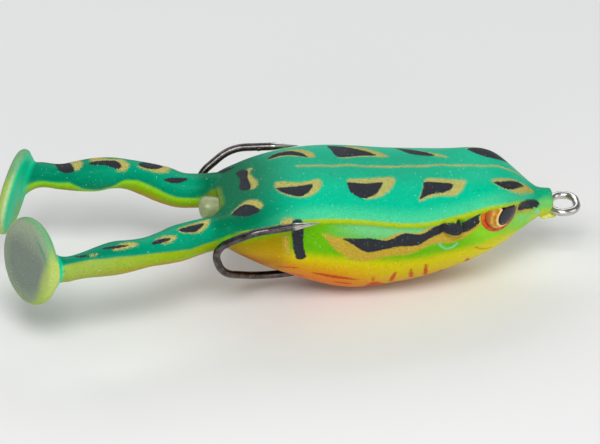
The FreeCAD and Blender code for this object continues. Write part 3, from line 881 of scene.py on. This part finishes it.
# ---------------------------------------------------------------- shader helper
class Shader:
    """a material with a Principled shader, and short calls for the nodes that feed it"""

    def __init__(self, name):
        self.mat = bpy.data.materials.new(name)
        self.mat.use_nodes = True
        self.tree = self.mat.node_tree
        self.tree.nodes.clear()
        self.out = self.node("OutputMaterial")
        self.bsdf = self.node("BsdfPrincipled")
        self.put(self.out.inputs[0], self.bsdf.outputs[0])

    def put(self, sock, value):
        if isinstance(value, bpy.types.NodeSocket):
            self.tree.links.new(value, sock)
        elif np.ndim(value):
            value = list(map(float, value))
            sock.default_value = value + [1.0] * (len(sock.default_value) - len(value))
        else:
            sock.default_value = value

    def node(self, kind, inputs=None, **settings):
        node = self.tree.nodes.new("ShaderNode" + kind)
        for key, value in settings.items():
            setattr(node, key, value)
        for key, value in (inputs or {}).items():
            self.put(node.inputs[key], value)
        return node

    @functools.cached_property
    def mm(self):
        """object coordinates in millimetres"""
        place = self.node("TexCoord").outputs["Object"]
        return self.node("VectorMath", {0: place, "Scale": 1000.0}, operation='SCALE').outputs[0]

    def math(self, operation, a, b, **settings):
        return self.node("Math", {0: a, 1: b}, operation=operation, **settings).outputs[0]

    def add(self, a, b):
        return self.math('ADD', a, b)

    def mul(self, a, b):
        return self.math('MULTIPLY', a, b)

    def attr(self, name, out="Fac"):
        return self.node("Attribute", attribute_name=name).outputs[out]

    def noise(self, scale, detail=2.0, rough=0.5):
        return self.node("TexNoise", {"Vector": self.mm, "Scale": scale, "Detail": detail,
                                      "Roughness": rough}).outputs[0]

    def voronoi(self, scale, out):
        return self.node("TexVoronoi", {"Vector": self.mm, "Scale": scale}).outputs[out]

    def ramp(self, value, low, high):
        return self.node("MapRange", {0: value, 1: low, 2: high},
                         interpolation_type='SMOOTHSTEP').outputs[0]

    def mix(self, mask, base, coat, amount=None):
        if amount is not None:
            mask = self.mul(mask, amount)
        return self.node("Mix", {0: mask, 6: base, 7: coat}, data_type='RGBA').outputs[2]

    def hsv(self, colour, hue=0.5, saturation=1.0, value=1.0):
        return self.node("HueSaturation", {"Hue": hue, "Saturation": saturation,
                                           "Value": value, "Color": colour}).outputs[0]

    def split(self, vector):
        return self.node("SeparateXYZ", {0: vector}).outputs

    def bump(self, height, depth, strength):
        """depth in millimetres"""
        return self.node("Bump", {"Distance": depth * MM, "Strength": strength,
                                  "Height": height}).outputs[0]

    def specks(self, scale, outer, inner, channel, above):
        """dots in those cells whose colour channel is above a limit"""
        dot = self.ramp(self.voronoi(scale, "Distance"), low=outer, high=inner)
        cell = self.split(self.voronoi(scale, "Color"))[channel]
        return self.mul(dot, self.math('GREATER_THAN', cell, above))

    def cover(self, name, ragged, soft, scale):
        """mask of a paint: its edge wanders by ragged mm and fades over soft mm"""
        shift = 0.0
        wander = self.math('SUBTRACT', self.noise(scale, rough=0.6), 0.5)
        inside = self.math('SUBTRACT', self.mul(wander, ragged * 2), self.attr(name))
        faded = self.math('DIVIDE', self.add(inside, shift), soft)
        return self.math('ADD', faded, 0.5, use_clamp=True)

    def set(self, **inputs):
        for name, value in inputs.items():
            self.put(self.bsdf.inputs[name.replace("_", " ")], value)


def skin_material():
    sh = Shader("painted_soft_skin")
    ground = sh.attr("ground", "Color")
    fine = sh.noise(scale=7.0, rough=0.6)
    mottle = sh.noise(scale=1.1, detail=3.0, rough=0.55)
    # sprayed ground: mottling and a faint grain of lighter and darker dots
    c = sh.hsv(ground, value=sh.add(0.86, sh.mul(mottle, 0.28)))
    c = sh.mix(sh.ramp(fine, low=0.58, high=0.72), c,
               sh.hsv(ground, hue=0.485, saturation=0.96, value=1.35), amount=0.30)
    dark = sh.ramp(sh.noise(scale=4.6, detail=1.5, rough=0.55), low=0.57, high=0.67)
    c = sh.mix(dark, c, sh.hsv(ground, hue=0.51, value=0.50), amount=0.50)
    # sea-green lines and red streaks
    c = sh.mix(sh.cover("cyn", ragged=0.10, soft=0.22, scale=4.0), c,
               srgb(110, 206, 170), amount=0.8)
    c = sh.mix(sh.cover("red", ragged=0.60, soft=0.36, scale=3.4), c,
               srgb(188, 52, 4), amount=0.95)
    # gold flake with pinholes, paler towards the back
    gold = sh.cover("gld", ragged=1.15, soft=0.16, scale=6.0)
    fleck = sh.noise(scale=6.5, detail=1.0)
    pale = sh.mix(sh.ramp(sh.split(sh.mm)[2], low=3.5, high=8.5),
                  srgb(212, 164, 62), srgb(204, 192, 116))
    gold_col = sh.mix(sh.ramp(fleck, low=0.40, high=0.56), srgb(146, 138, 40), pale)
    holes = sh.ramp(sh.noise(scale=8.0, detail=1.0), low=0.30, high=0.40)
    gold = sh.mul(gold, sh.add(0.30, sh.mul(holes, 0.70)))
    c = sh.mix(gold, c, gold_col)
    # near-black markings and the orange rim of the eye
    black = sh.cover("blk", ragged=0.50, soft=0.10, scale=4.5)
    c = sh.mix(black, c, sh.mix(sh.ramp(fine, low=0.55, high=0.75),
                                srgb(40, 42, 48), srgb(66, 70, 80)))
    rim = sh.cover("orr", ragged=0.05, soft=0.10, scale=3.0)
    c = sh.mix(rim, c, sh.mix(sh.ramp(mottle, low=.35, high=.65),
                              srgb(186, 62, 24), srgb(214, 98, 48)))
    # glitter: small pale, large bright and a few dark specks
    c = sh.mix(sh.specks(scale=2.3, outer=0.15, inner=0.08, channel=1, above=0.74), c,
               srgb(200, 236, 205), amount=0.6)
    c = sh.mix(sh.specks(scale=1.15, outer=0.095, inner=0.05, channel=0, above=0.60), c,
               srgb(232, 244, 236))
    c = sh.mix(sh.specks(scale=0.60, outer=0.075, inner=0.04, channel=2, above=0.66), c,
               srgb(20, 40, 30), amount=0.8)
    # each paint is a little rougher and thicker than the ground
    rough = sh.add(0.36, sh.mul(mottle, 0.16))
    rough = sh.add(rough, sh.mul(black, 0.08))
    rough = sh.add(rough, sh.mul(gold, 0.10))
    height = sh.add(sh.mul(sh.noise(scale=3.2, detail=3.0, rough=0.55), 0.6),
                    sh.mul(black, 0.35))
    height = sh.add(height, sh.mul(gold, sh.mul(fleck, 0.8)))
    tint = sh.mix(black, sh.hsv(ground, saturation=0.96, value=2.2), (0.6, 0.62, 0.7))
    sh.set(Base_Color=c, Roughness=rough, Normal=sh.bump(height, depth=0.06, strength=0.55),
           Specular_IOR_Level=0.17, Specular_Tint=tint, Coat_Weight=0.02, Coat_Roughness=0.22,
           Subsurface_Weight=0.04, Subsurface_Radius=(0.001, 0.0012, 0.0006),
           Subsurface_Scale=0.6)
    return sh.mat


# --------------------------------------------------------------- the whole skin
def relief(points):
    """height of the modelled features over the plain skin"""
    x = points[:, 0]
    arc, flank, _ = skin_place(points)
    # ridge along the flank line
    d = 0.34 * gauss(flank, 0.60) * step(-64, -58, x) * (1 - step(-9.5, -6.5, x))
    # brow shelf over the eye and the dome of the skull behind it
    d += 0.62 * gauss(flank + 0.35, 1.05) * gauss(x + 13.9, 4.4)
    d += 0.55 * gauss(arc - 6.8, 3.0) * gauss(x + 16.8, 4.6) * (flank < 0.5)
    # ear drum with a groove round it, and a soft cheek in front of and below it
    ear = ear_distance(x, arc)
    d += 1.30 * np.sqrt(np.clip(1 - (ear / 1.85) ** 2, 0, 1)) - 0.36 * gauss(ear - 2.15, .34)
    d += 0.35 * gauss(arc - 19.0, 3.0) * gauss(x + 17.5, 4.0)
    # eye socket and its raised rim, below the brow line only
    from_eye, eye_height = eye_place(points)
    d += (eye_height > -3.5) * step(0.1, 0.8, flank) * (
        -1.00 * (1 - step(2.9, 3.45, from_eye)) + 0.40 * gauss(from_eye - 3.72, 0.34))
    # nostril and corner of the mouth
    nostril = nostril_distance(x, arc)
    d += 0.16 * gauss(nostril - 0.78, 0.26) - 0.32 * gauss(nostril, 0.42)
    d += -0.20 * gauss(line_distance(np.stack([x, -arc], 1), MOUTH), 0.22)
    return d * step(-67.5, -64.0, x)


def build_skin():
    skin = new_object("skin_all", *join_stacks([body_rings(), leg_rings(1), leg_rings(-1),
                                                *foot_rings(1), *foot_rings(-1)]))
    remesh(skin, SKIN_VOXEL)
    soften(skin, SOFTEN_STEPS)
    # put the vertices of the plain body back on its exact section
    points = coords(skin.data)
    x = points[:, 0]
    y, z = section_point(body_section(np.clip(x, TAIL_X, NOSE_X)), skin_place(points)[2])
    weight = step(-65.0, -62.5, x) * (1 - step(-5.2, -4.2, x))
    off_middle = np.abs(points[:, 1]) > 1e-6
    points[:, 1] += (np.sign(points[:, 1]) * y - points[:, 1]) * weight * off_middle
    points[:, 2] += (z - points[:, 2]) * weight
    set_coords(skin.data, points)
    soften(skin, 3)

    points = coords(skin.data)
    skin.data.update()
    outward = read_vectors(skin.data.vertex_normals, "vector")
    points = points + outward * relief(points)[:, None]
    # the rump between the legs slopes in above the tail plug
    x = points[:, 0]
    rump_x = -69.5 + 2.0 * step(2.6, 7.6, points[:, 2])
    between = 1 - step(2.4, 5.0, np.abs(points[:, 1]))
    points[:, 0] += np.clip(rump_x - x, 0, None) * between * (x < -64) * (x > -78)
    set_coords(skin.data, points)
    return skin


# ------------------------------------------------------------ pieces of the skin
# lengths along the leg where the skin is parted
ROOT_CUT, THIGH_CUT, CALF_CUT = 4.1, 11.0, 26.0
LEG_ZONE_X = -66 * MM      # everything of the legs lies behind this


def cap_holes(bm):
    """closes the cuts with flat triangles behind sharp edges"""
    edges = [e for e in bm.edges if len(e.link_faces) == 1]
    for e in edges:
        e.smooth = False
    filled = bmesh.ops.holes_fill(bm, edges=edges, sides=0)["faces"]
    for face in filled:
        face.smooth = False
    for face in bmesh.ops.triangulate(bm, faces=filled)["faces"]:
        face.smooth = False


def piece_object(name, bm):
    cap_holes(bm)
    me = bpy.data.meshes.new(name)
    bm.to_mesh(me)
    bm.free()
    return link_object(name, me)


def body_piece(skin):
    """the skin without what lies past the root of each leg"""
    bm = bmesh.new()
    bm.from_mesh(skin.data)
    for side, _ in SIDES:
        point, direction = on_leg(ROOT_CUT, side)
        point, direction = Vector(point) * MM, Vector(direction)
        near = [f for f in bm.faces if f.calc_center_median().y * side > -1e-4
                and f.calc_center_median().x < LEG_ZONE_X]
        geom = list({v for f in near for v in f.verts}) + list({e for f in near for e in f.edges})
        bmesh.ops.bisect_plane(bm, geom=geom + near, plane_co=point, plane_no=direction,
                               dist=1e-7)
        drop = [f for f in bm.faces if f.calc_center_median().y * side > 0
                and (f.calc_center_median() - point).dot(direction) > 0]
        bmesh.ops.delete(bm, geom=drop, context='FACES')
    return piece_object("body_skin", bm)


def leg_piece(skin, name, side, start, end):
    """one leg between two lengths; no end keeps all the rest"""
    bm = bmesh.new()
    bm.from_mesh(skin.data)
    drop = [f for f in bm.faces if f.calc_center_median().y * side < 0
            or f.calc_center_median().x > LEG_ZONE_X]
    bmesh.ops.delete(bm, geom=drop, context='FACES')
    for length, clear in ((start, "clear_inner"), (end, "clear_outer")):
        if length is not None:
            point, direction = on_leg(length, side)
            bmesh.ops.bisect_plane(bm, geom=bm.verts[:] + bm.edges[:] + bm.faces[:],
                                   plane_co=Vector(point) * MM, plane_no=Vector(direction),
                                   dist=1e-7, **{clear: True})
    return piece_object(name, bm)


whole_skin = build_skin()
pieces = {"body_skin": body_piece(whole_skin)}
for side, word in SIDES:
    for part, start, end in (("hip", ROOT_CUT, THIGH_CUT), ("knee", THIGH_CUT, CALF_CUT),
                             ("foot", CALF_CUT, None)):
        name = f"{word}_{part}_skin"
        pieces[name] = leg_piece(whole_skin, name, side, start, end)
bpy.data.objects.remove(whole_skin)

# ------------------------------------------------- hollow, belly slots, nose bore
OVAL_ANGLES = turn(40) + 0.01
STRAND_Y = 0.78            # each wire strand from the middle, in the nose
# x and y of the left belly slot's centre line
SLOT_LINE = np.array([(-47.2, 2.27), (-50.5, 2.76), (-54.0, 3.27), (-57.5, 4.02),
                      (-60.5, 5.21), (-62.9, 6.67)])
SLOT_HALF_WIDTH = 1.25
SLOT_BOTTOM, SLOT_TOP = -14.0, -0.8


def oval_ring(x, half_y, z, radius):
    """round-ended oval, its ends centred half_y to either side"""
    y = np.cos(OVAL_ANGLES) * radius
    return np.stack([np.full(len(y), x), y + np.sign(y) * half_y,
                     z + np.sin(OVAL_ANGLES) * radius], 1)


def slot_rings(side):
    line = SLOT_LINE * np.array([1, side])
    along = unit(np.gradient(line, axis=0))
    offset = np.stack([-along[:, 1], along[:, 0]], 1) * SLOT_HALF_WIDTH
    loop = np.concatenate([line + offset, (line - offset)[::-1]])
    return [np.column_stack([loop, np.full(len(loop), z)]) for z in (SLOT_BOTTOM, SLOT_TOP)]


def hollow_body(body):
    inset = np.array([WALL, 0, WALL, -WALL])
    cut(body, [body_ring(x, body_section(x) - inset, turn(120))
               for x in np.linspace(-10.6, -59.6, 60)])
    # seat of the nose seal, and the bore from it into the hollow
    cut(body, [oval_ring(x, half_y, 0.0, 1.44) for x, half_y in
               ((-1.6, 2.2), (-2.6, 1.35), (-3.6, 0.80), (-7.04, STRAND_Y))])
    cut(body, [oval_ring(-6.6, STRAND_Y, 0.0, 1.0), oval_ring(-11.4, STRAND_Y, -0.55, 1.5)])
    for side, _ in SIDES:
        cut(body, slot_rings(side))
    shade_smooth(body.data)
    body.data.set_sharp_from_angle(angle=math.radians(42))


def dress(me, mat):
    me.materials.clear()
    me.materials.append(mat)


hollow_body(pieces["body_skin"])
skin_mat = skin_material()
for ob in pieces.values():
    paint(ob.data)
    dress(ob.data, skin_mat)


# ------------------------------------------------------------------------- eyes
def make_eye(side, word):
    profile = [(r, 1.40 * math.sqrt(max(0.0, 1 - (r / 3.70) ** 2)) - 0.02)
               for r in np.linspace(0.04, 1, 26) * 3.36]
    profile += [(3.44, 0.42), (3.46, 0.15), (3.46, -0.4), (3.38, -0.9)]
    verts, faces = ring_stack([circle(EYE + EYE_DIR * height, EYE_FORE, EYE_UP, r, turn(84))
                               for r, height in profile])
    offset = verts - EYE
    # the brow hides the top of the eye: sink what lies above it
    above_brow = ((verts - np.array([-14.0, 0, 6.62])) @ np.array([0.13, 0, 1.0])
                  + 0.045 * (verts[:, 0] + 13.6) ** 2)
    sink = np.clip(offset @ EYE_DIR + 3.2, 0, None) * step(-0.05, 0.28, above_brow)
    ob = new_object(word + "_eye_dome", mirror(verts - EYE_DIR * sink[:, None], side), faces)
    # distances from the centre of the eye and of the pupil
    fore, up = offset @ EYE_FORE, offset @ EYE_UP
    store(ob.data, "er", np.hypot(fore, up))
    store(ob.data, "ep", np.hypot(fore - 0.72, up + 0.22))
    ob.data.set_sharp_from_angle(angle=math.radians(60))
    return ob


def eye_material():
    sh = Shader("painted_eye")
    from_eye, from_pupil = sh.attr("er"), sh.attr("ep")
    mottle = sh.noise(scale=1.6, detail=3.0, rough=0.6)
    c = sh.mix(sh.ramp(mottle, low=0.35, high=0.68), srgb(200, 146, 34), srgb(158, 98, 8))
    c = sh.mix(sh.ramp(from_pupil, low=2.95, high=2.6), c, srgb(236, 204, 134), amount=0.85)
    # pale ring near the rim of the iris, darker at the very edge
    iris = sh.add(from_eye, sh.mul(mottle, 0.12))
    c = sh.mix(sh.ramp(iris, low=2.55, high=2.85), c, srgb(226, 190, 110), amount=0.25)
    c = sh.mix(sh.ramp(iris, low=3.12, high=3.30), c, srgb(176, 92, 34), amount=0.85)
    # thin dark rim round the pupil and the pupil itself
    pupil = sh.add(from_pupil, sh.mul(sh.noise(scale=2.0), 0.06))
    c = sh.mix(sh.ramp(pupil, low=2.44, high=2.34), c, srgb(16, 14, 16))
    c = sh.mix(sh.ramp(pupil, low=2.15, high=1.9), c, srgb(52, 50, 58), amount=0.8)
    c = sh.mix(sh.specks(scale=1.6, outer=0.12, inner=0.05, channel=0, above=0.72), c,
               srgb(250, 240, 215), amount=.8)
    sh.set(Base_Color=c, Roughness=0.26, Specular_IOR_Level=0.16, Coat_Weight=0.07,
           Coat_Roughness=0.10, Normal=sh.bump(sh.noise(scale=2.5), depth=0.04, strength=0.5))
    return sh.mat


eye_mat = eye_material()
eyes = [make_eye(side, word) for side, word in SIDES]
for eye in eyes:
    eye.data.materials.append(eye_mat)

# -------------------------------------------------------------------- tail plug
# x and radius
PLUG = ((-65.2, 1.6), (-65.3, 2.1), (-66.4, 2.2), (-68.0, 2.26), (-69.4, 2.30), (-70.1, 2.24),
        (-70.5, 2.10), (-70.85, 1.84), (-71.1, 1.46), (-71.26, 1.00), (-71.34, 0.50),
        (-71.33, 0.22))


def plug_material():
    sh = Shader("clear_sealant")
    cloud = sh.noise(scale=0.9)
    sh.set(Base_Color=sh.mix(cloud, srgb(168, 180, 122), srgb(206, 212, 172)),
           Roughness=sh.add(0.16, sh.mul(cloud, 0.14)), Transmission_Weight=0.45, IOR=1.42,
           Subsurface_Weight=0.25, Subsurface_Radius=(0.002, 0.002, 0.0012),
           Normal=sh.bump(sh.noise(scale=1.8), depth=0.08, strength=0.5))
    return sh.mat


def tail_plug():
    angles = turn(64)
    rings = []
    for x, radius in PLUG:
        # the outer dome is a little uneven, and the plug rises towards it
        uneven = 0.035 * np.sin(2 * angles + 0.6) + 0.02 * np.sin(3 * angles)
        radii = radius * (1 + uneven * step(-69.3, -70.2, x))
        rings.append(np.stack([x + 0.06 * np.cos(angles + 1.0) * step(-69.5, -70.3, x),
                               np.cos(angles) * radii,
                               5.2 + 0.5 * step(-66.5, -70.5, x) + np.sin(angles) * radii], 1))
    ob = new_object("tail_plug_dome", *ring_stack(rings))
    ob.data.materials.append(plug_material())
    return ob


plug = tail_plug()

# ------------------------------------------------- nose seal with its cured flash
# x and end radius of the oval grommet
GROMMET = ((-7.0, 1.2), (-7.0, 1.38), (-6.7, 1.42), (-4.2, 1.42), (-3.55, 1.40), (-3.2, 1.25),
           (-3.05, 0.95), (-3.0, 0.5))
# centre and radii of the lumps of squeezed-out sealant
LUMPS = (
    ((-3.35, 0.0, -0.55), (0.75, 1.75, 0.95)), ((-3.15, 0.15, -1.35), (0.85, 1.45, 0.75)),
    ((-2.85, -0.35, -1.75), (0.70, 0.85, 0.55)), ((-3.55, 0.55, -1.95), (0.80, 0.95, 0.50)),
    ((-3.5, -0.95, -1.30), (0.65, 0.75, 0.70)), ((-3.45, 0.2, 0.85), (0.55, 1.35, 0.45)),
    ((-3.0, -1.75, -1.25), (0.95, 0.75, 0.50)), ((-2.55, -1.0, -1.55), (0.60, 0.65, 0.45)),
    ((-4.2, -1.55, -1.62), (1.05, 0.60, 0.36)), ((-2.9, 1.6, -1.25), (0.70, 0.70, 0.42)),
    ((-2.62, 0.4, -2.0), (0.50, 0.55, 0.34)))
# x and y of the left strand's bore, which spreads towards the loop
STRAND_BORE = ((-8.0, STRAND_Y), (-5.0, .80), (-4.0, .87), (-3.0, 1.58), (-2.0, 2.57))
STRAND_BORE_RADIUS = 0.84


def lump_rings(centre, radii):
    x, y, z = centre
    return [circle(np.array([x + radii[0] * math.sin(p), y, z]),
                   np.array([0, radii[1] * math.cos(p), 0]),
                   np.array([0, 0, radii[2] * math.cos(p)]), 1.0, turn(28))
            for p in np.linspace(-1.45, 1.45, 15)]


def seal_material():
    sh = Shader("cured_sealant")
    cloud = sh.noise(scale=1.3, detail=3.0, rough=0.55)
    sh.set(Base_Color=sh.mix(sh.ramp(cloud, low=0.3, high=0.7),
                             srgb(196, 208, 52), srgb(222, 226, 120)),
           Roughness=sh.add(0.24, sh.mul(cloud, 0.2)), Transmission_Weight=0.12,
           Subsurface_Weight=0.3, Subsurface_Radius=(0.0015, 0.0015, 0.0006),
           Normal=sh.bump(sh.noise(scale=2.2), depth=0.1, strength=0.6))
    return sh.mat


def nose_seal():
    """grommet in the nose, with sealant squeezed out round the line tie"""
    grommet = [oval_ring(x, STRAND_Y, 0.0, radius) for x, radius in GROMMET]
    ob = new_object("nose_seal_flash",
                    *join_stacks([grommet] + [lump_rings(*lump) for lump in LUMPS]))
    remesh(ob, 0.12)
    soften(ob, 6)
    ob.data.materials.append(seal_material())
    for side, _ in SIDES:
        cut(ob, [circle(np.array([x, y * side, 0]), np.array([0, 1.0, 0]), UP,
                        STRAND_BORE_RADIUS, turn(32)) for x, y in STRAND_BORE])
    shade_smooth(ob.data)
    ob.data.set_sharp_from_angle(angle=math.radians(50))
    return ob


seal = nose_seal()


# ---------------------------------------------------------------------- metals
def hook_material():
    """dark wire, brighter at the loop and at the raised points behind"""
    sh = Shader("black_nickel_wire")
    x, z = sh.split(sh.mm)[0], sh.split(sh.mm)[2]
    cloud = sh.noise(scale=0.7, detail=3.0, rough=0.6)
    grain = sh.noise(scale=6.0, rough=0.6)
    dark = sh.mix(sh.ramp(cloud, low=0.35, high=0.7), srgb(70, 66, 68), srgb(104, 98, 99))
    bright = sh.mix(sh.ramp(cloud, low=0.35, high=0.7), srgb(205, 202, 198), srgb(178, 174, 170))
    loop = sh.ramp(sh.add(x, sh.mul(cloud, 0.8)), low=-5.0, high=-3.2)
    points = sh.mul(sh.ramp(sh.add(x, sh.mul(cloud, 0.6)), low=-55.2, high=-54.0),
                    sh.math('GREATER_THAN', z, 6.0))
    # the loop and the raised points are given a brighter colour
    bright_loop_and_points = sh.math('MAXIMUM', loop, points)
    c = sh.mix(bright_loop_and_points, dark, bright)
    # light tarnish freckles
    freckles = sh.ramp(sh.noise(scale=2.6, detail=3.0, rough=0.6), low=0.60, high=0.72)
    c = sh.mix(freckles, c, srgb(84, 66, 48), amount=0.35)
    rough = sh.math('SUBTRACT', sh.add(0.20, sh.mul(grain, 0.14)), sh.mul(bright_loop_and_points, 0.08))
    sh.set(Base_Color=c, Metallic=1.0, Roughness=rough,
           Normal=sh.bump(sh.noise(scale=4.0, rough=0.6), depth=0.02, strength=0.5))
    return sh.mat


def plain_metal(name, first, second, rough, metallic, depth):
    sh = Shader(name)
    cloud = sh.noise(scale=0.8, detail=4.0, rough=0.6)
    sh.set(Base_Color=sh.mix(sh.ramp(cloud, low=0.35, high=0.7), first, second),
           Roughness=sh.add(rough, sh.mul(sh.noise(scale=3.0), 0.2)), Metallic=metallic,
           Normal=sh.bump(sh.noise(scale=1.6, detail=4.0, rough=0.6), depth, strength=0.6))
    return sh.mat


METALS = {
    "double_hook": hook_material(),
    "shank_braze": plain_metal("soft_solder", srgb(176, 178, 180), srgb(140, 142, 146),
                               rough=.28, metallic=1.0, depth=0.12),
    "belly_weight": plain_metal("cast_lead", srgb(104, 106, 112), srgb(140, 142, 146),
                                rough=.45, metallic=0.9, depth=0.18)}
for name, mat in METALS.items():
    dress(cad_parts[name].data, mat)


def ride_body(ob, slot, *replaced):
    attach(ob, "body")
    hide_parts(*replaced)


ride_body(pieces["body_skin"], "body_skin", "body_shell", "hip_block")
for side, word in SIDES:
    thigh, calf, foot = (f"{word}_{part}" for part in ("thigh", "calf", "foot"))
    # piece, the two parts it bends between, lengths where the bend runs, parts replaced, slot
    for part, carriers, (start, end), replaced, slot in (
            ("hip", ("body", thigh), (4.3, 8.6), (), "leg_skin"),
            ("knee", (thigh, calf), (16.2, 21.4), (thigh,), "leg_skin"),
            ("foot", (calf, foot), (31.6, 35.4), (calf, foot), "foot_skin")):
        ob = pieces[f"{word}_{part}_skin"]
        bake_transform(ob)
        if replaced:
            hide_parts(*replaced)
for eye, (_, word) in zip(eyes, SIDES):
    ride_body(eye, "eye", word + "_eye")
ride_body(plug, "plug", "tail_plug")
ride_body(seal, "seal", "nose_seal")

# ------------------------------------------------------------- floor and surround
# from here on in metres
FLOOR_AT = (-0.05, 0.0, -12.85 * MM)
SURROUND = (0.95, 0.97, 1.0, 1.0)
SURROUND_SEEN, SURROUND_LIGHT = 0.78, 0.27     # strength to the camera and as light


def floor_material():
    """pale floor that runs out into the surround far from the lure"""
    sh = Shader("pale_floor")
    sh.set(Base_Color=(0.80, 0.80, 0.79), Roughness=0.85)
    place = sh.node("NewGeometry").outputs["Position"]
    away = sh.node("VectorMath", {0: place, 1: FLOOR_AT}, operation='DISTANCE')
    fade = sh.ramp(away.outputs["Value"], low=0.10, high=0.42)
    glow = sh.node("Emission", {0: SURROUND, 1: SURROUND_SEEN})
    both = sh.node("MixShader", {0: fade, 1: sh.bsdf.outputs[0], 2: glow.outputs[0]})
    sh.put(sh.out.inputs[0], both.outputs[0])
    return sh.mat


def build_floor():
    bm = bmesh.new()
    bmesh.ops.create_grid(bm, x_segments=2, y_segments=2, size=14.0)
    me = bpy.data.meshes.new("floor")
    bm.to_mesh(me)
    bm.free()
    floor = link_object("floor", me)
    floor.location = FLOOR_AT
    me.materials.append(floor_material())


def build_world():
    world = bpy.data.worlds.new("studio")
    bpy.context.scene.world = world
    world.use_nodes = True
    tree = world.node_tree
    background = tree.nodes["Background"]
    background.inputs["Color"].default_value = SURROUND
    path = tree.nodes.new("ShaderNodeLightPath")
    strength = tree.nodes.new("ShaderNodeMapRange")
    tree.links.new(path.outputs["Is Camera Ray"], strength.inputs[0])
    strength.inputs[3].default_value = SURROUND_LIGHT
    strength.inputs[4].default_value = SURROUND_SEEN
    tree.links.new(strength.outputs[0], background.inputs["Strength"])


build_floor()
build_world()


# ------------------------------------------------------------- lights and camera
def area(name, at, size, power, target=(-0.05, 0, 0.0), color=(1, 1, 1)):
    light = bpy.data.lights.new(name, 'AREA')
    light.shape = 'RECTANGLE'
    light.size, light.size_y = size
    light.energy = power
    light.color = color
    ob = bpy.data.objects.new(name, light)
    ob.location = at
    ob.rotation_euler = (Vector(at) - Vector(target)).to_track_quat('Z', 'Y').to_euler()
    bpy.context.scene.collection.objects.link(ob)


area("key", at=(-0.14, -0.34, 0.48), size=(0.32, 0.26), power=2.35)
area("fill", at=(0.42, -0.30, 0.22), size=(0.40, 0.40), power=0.8, color=(1.0, 0.98, 0.95))
area("low", at=(-0.06, -0.55, 0.14), size=(0.50, 0.16), power=0.55, target=(-0.05, 0, -0.005))
area("back", at=(-0.10, 0.42, 0.36), size=(0.60, 0.25), power=1.0, color=(0.95, 0.98, 1.0))

CAMERA_TARGET = Vector((-0.0517, 0.0, 0.0007))
TO_CAMERA = Vector((-0.124, -0.8295, 0.5446)).normalized()
CAMERA_DISTANCE = 3.0
SENSOR = 36.0
VIEW_WIDTH = 0.1154        # seen at the target

camera = bpy.data.cameras.new("camera")
camera.sensor_width = SENSOR
camera.lens = SENSOR * CAMERA_DISTANCE / VIEW_WIDTH
camera.clip_start, camera.clip_end = 0.02, 20.0
camera_object = link_object("camera", camera)
camera_object.location = CAMERA_TARGET + TO_CAMERA * CAMERA_DISTANCE
camera_object.rotation_euler = TO_CAMERA.to_track_quat('Z', 'Y').to_euler()
scene = bpy.context.scene
scene.camera = camera_object
scene.view_settings.view_transform = 'Standard'
scene.view_settings.look = 'None'

bpy.context.view_layer.update()
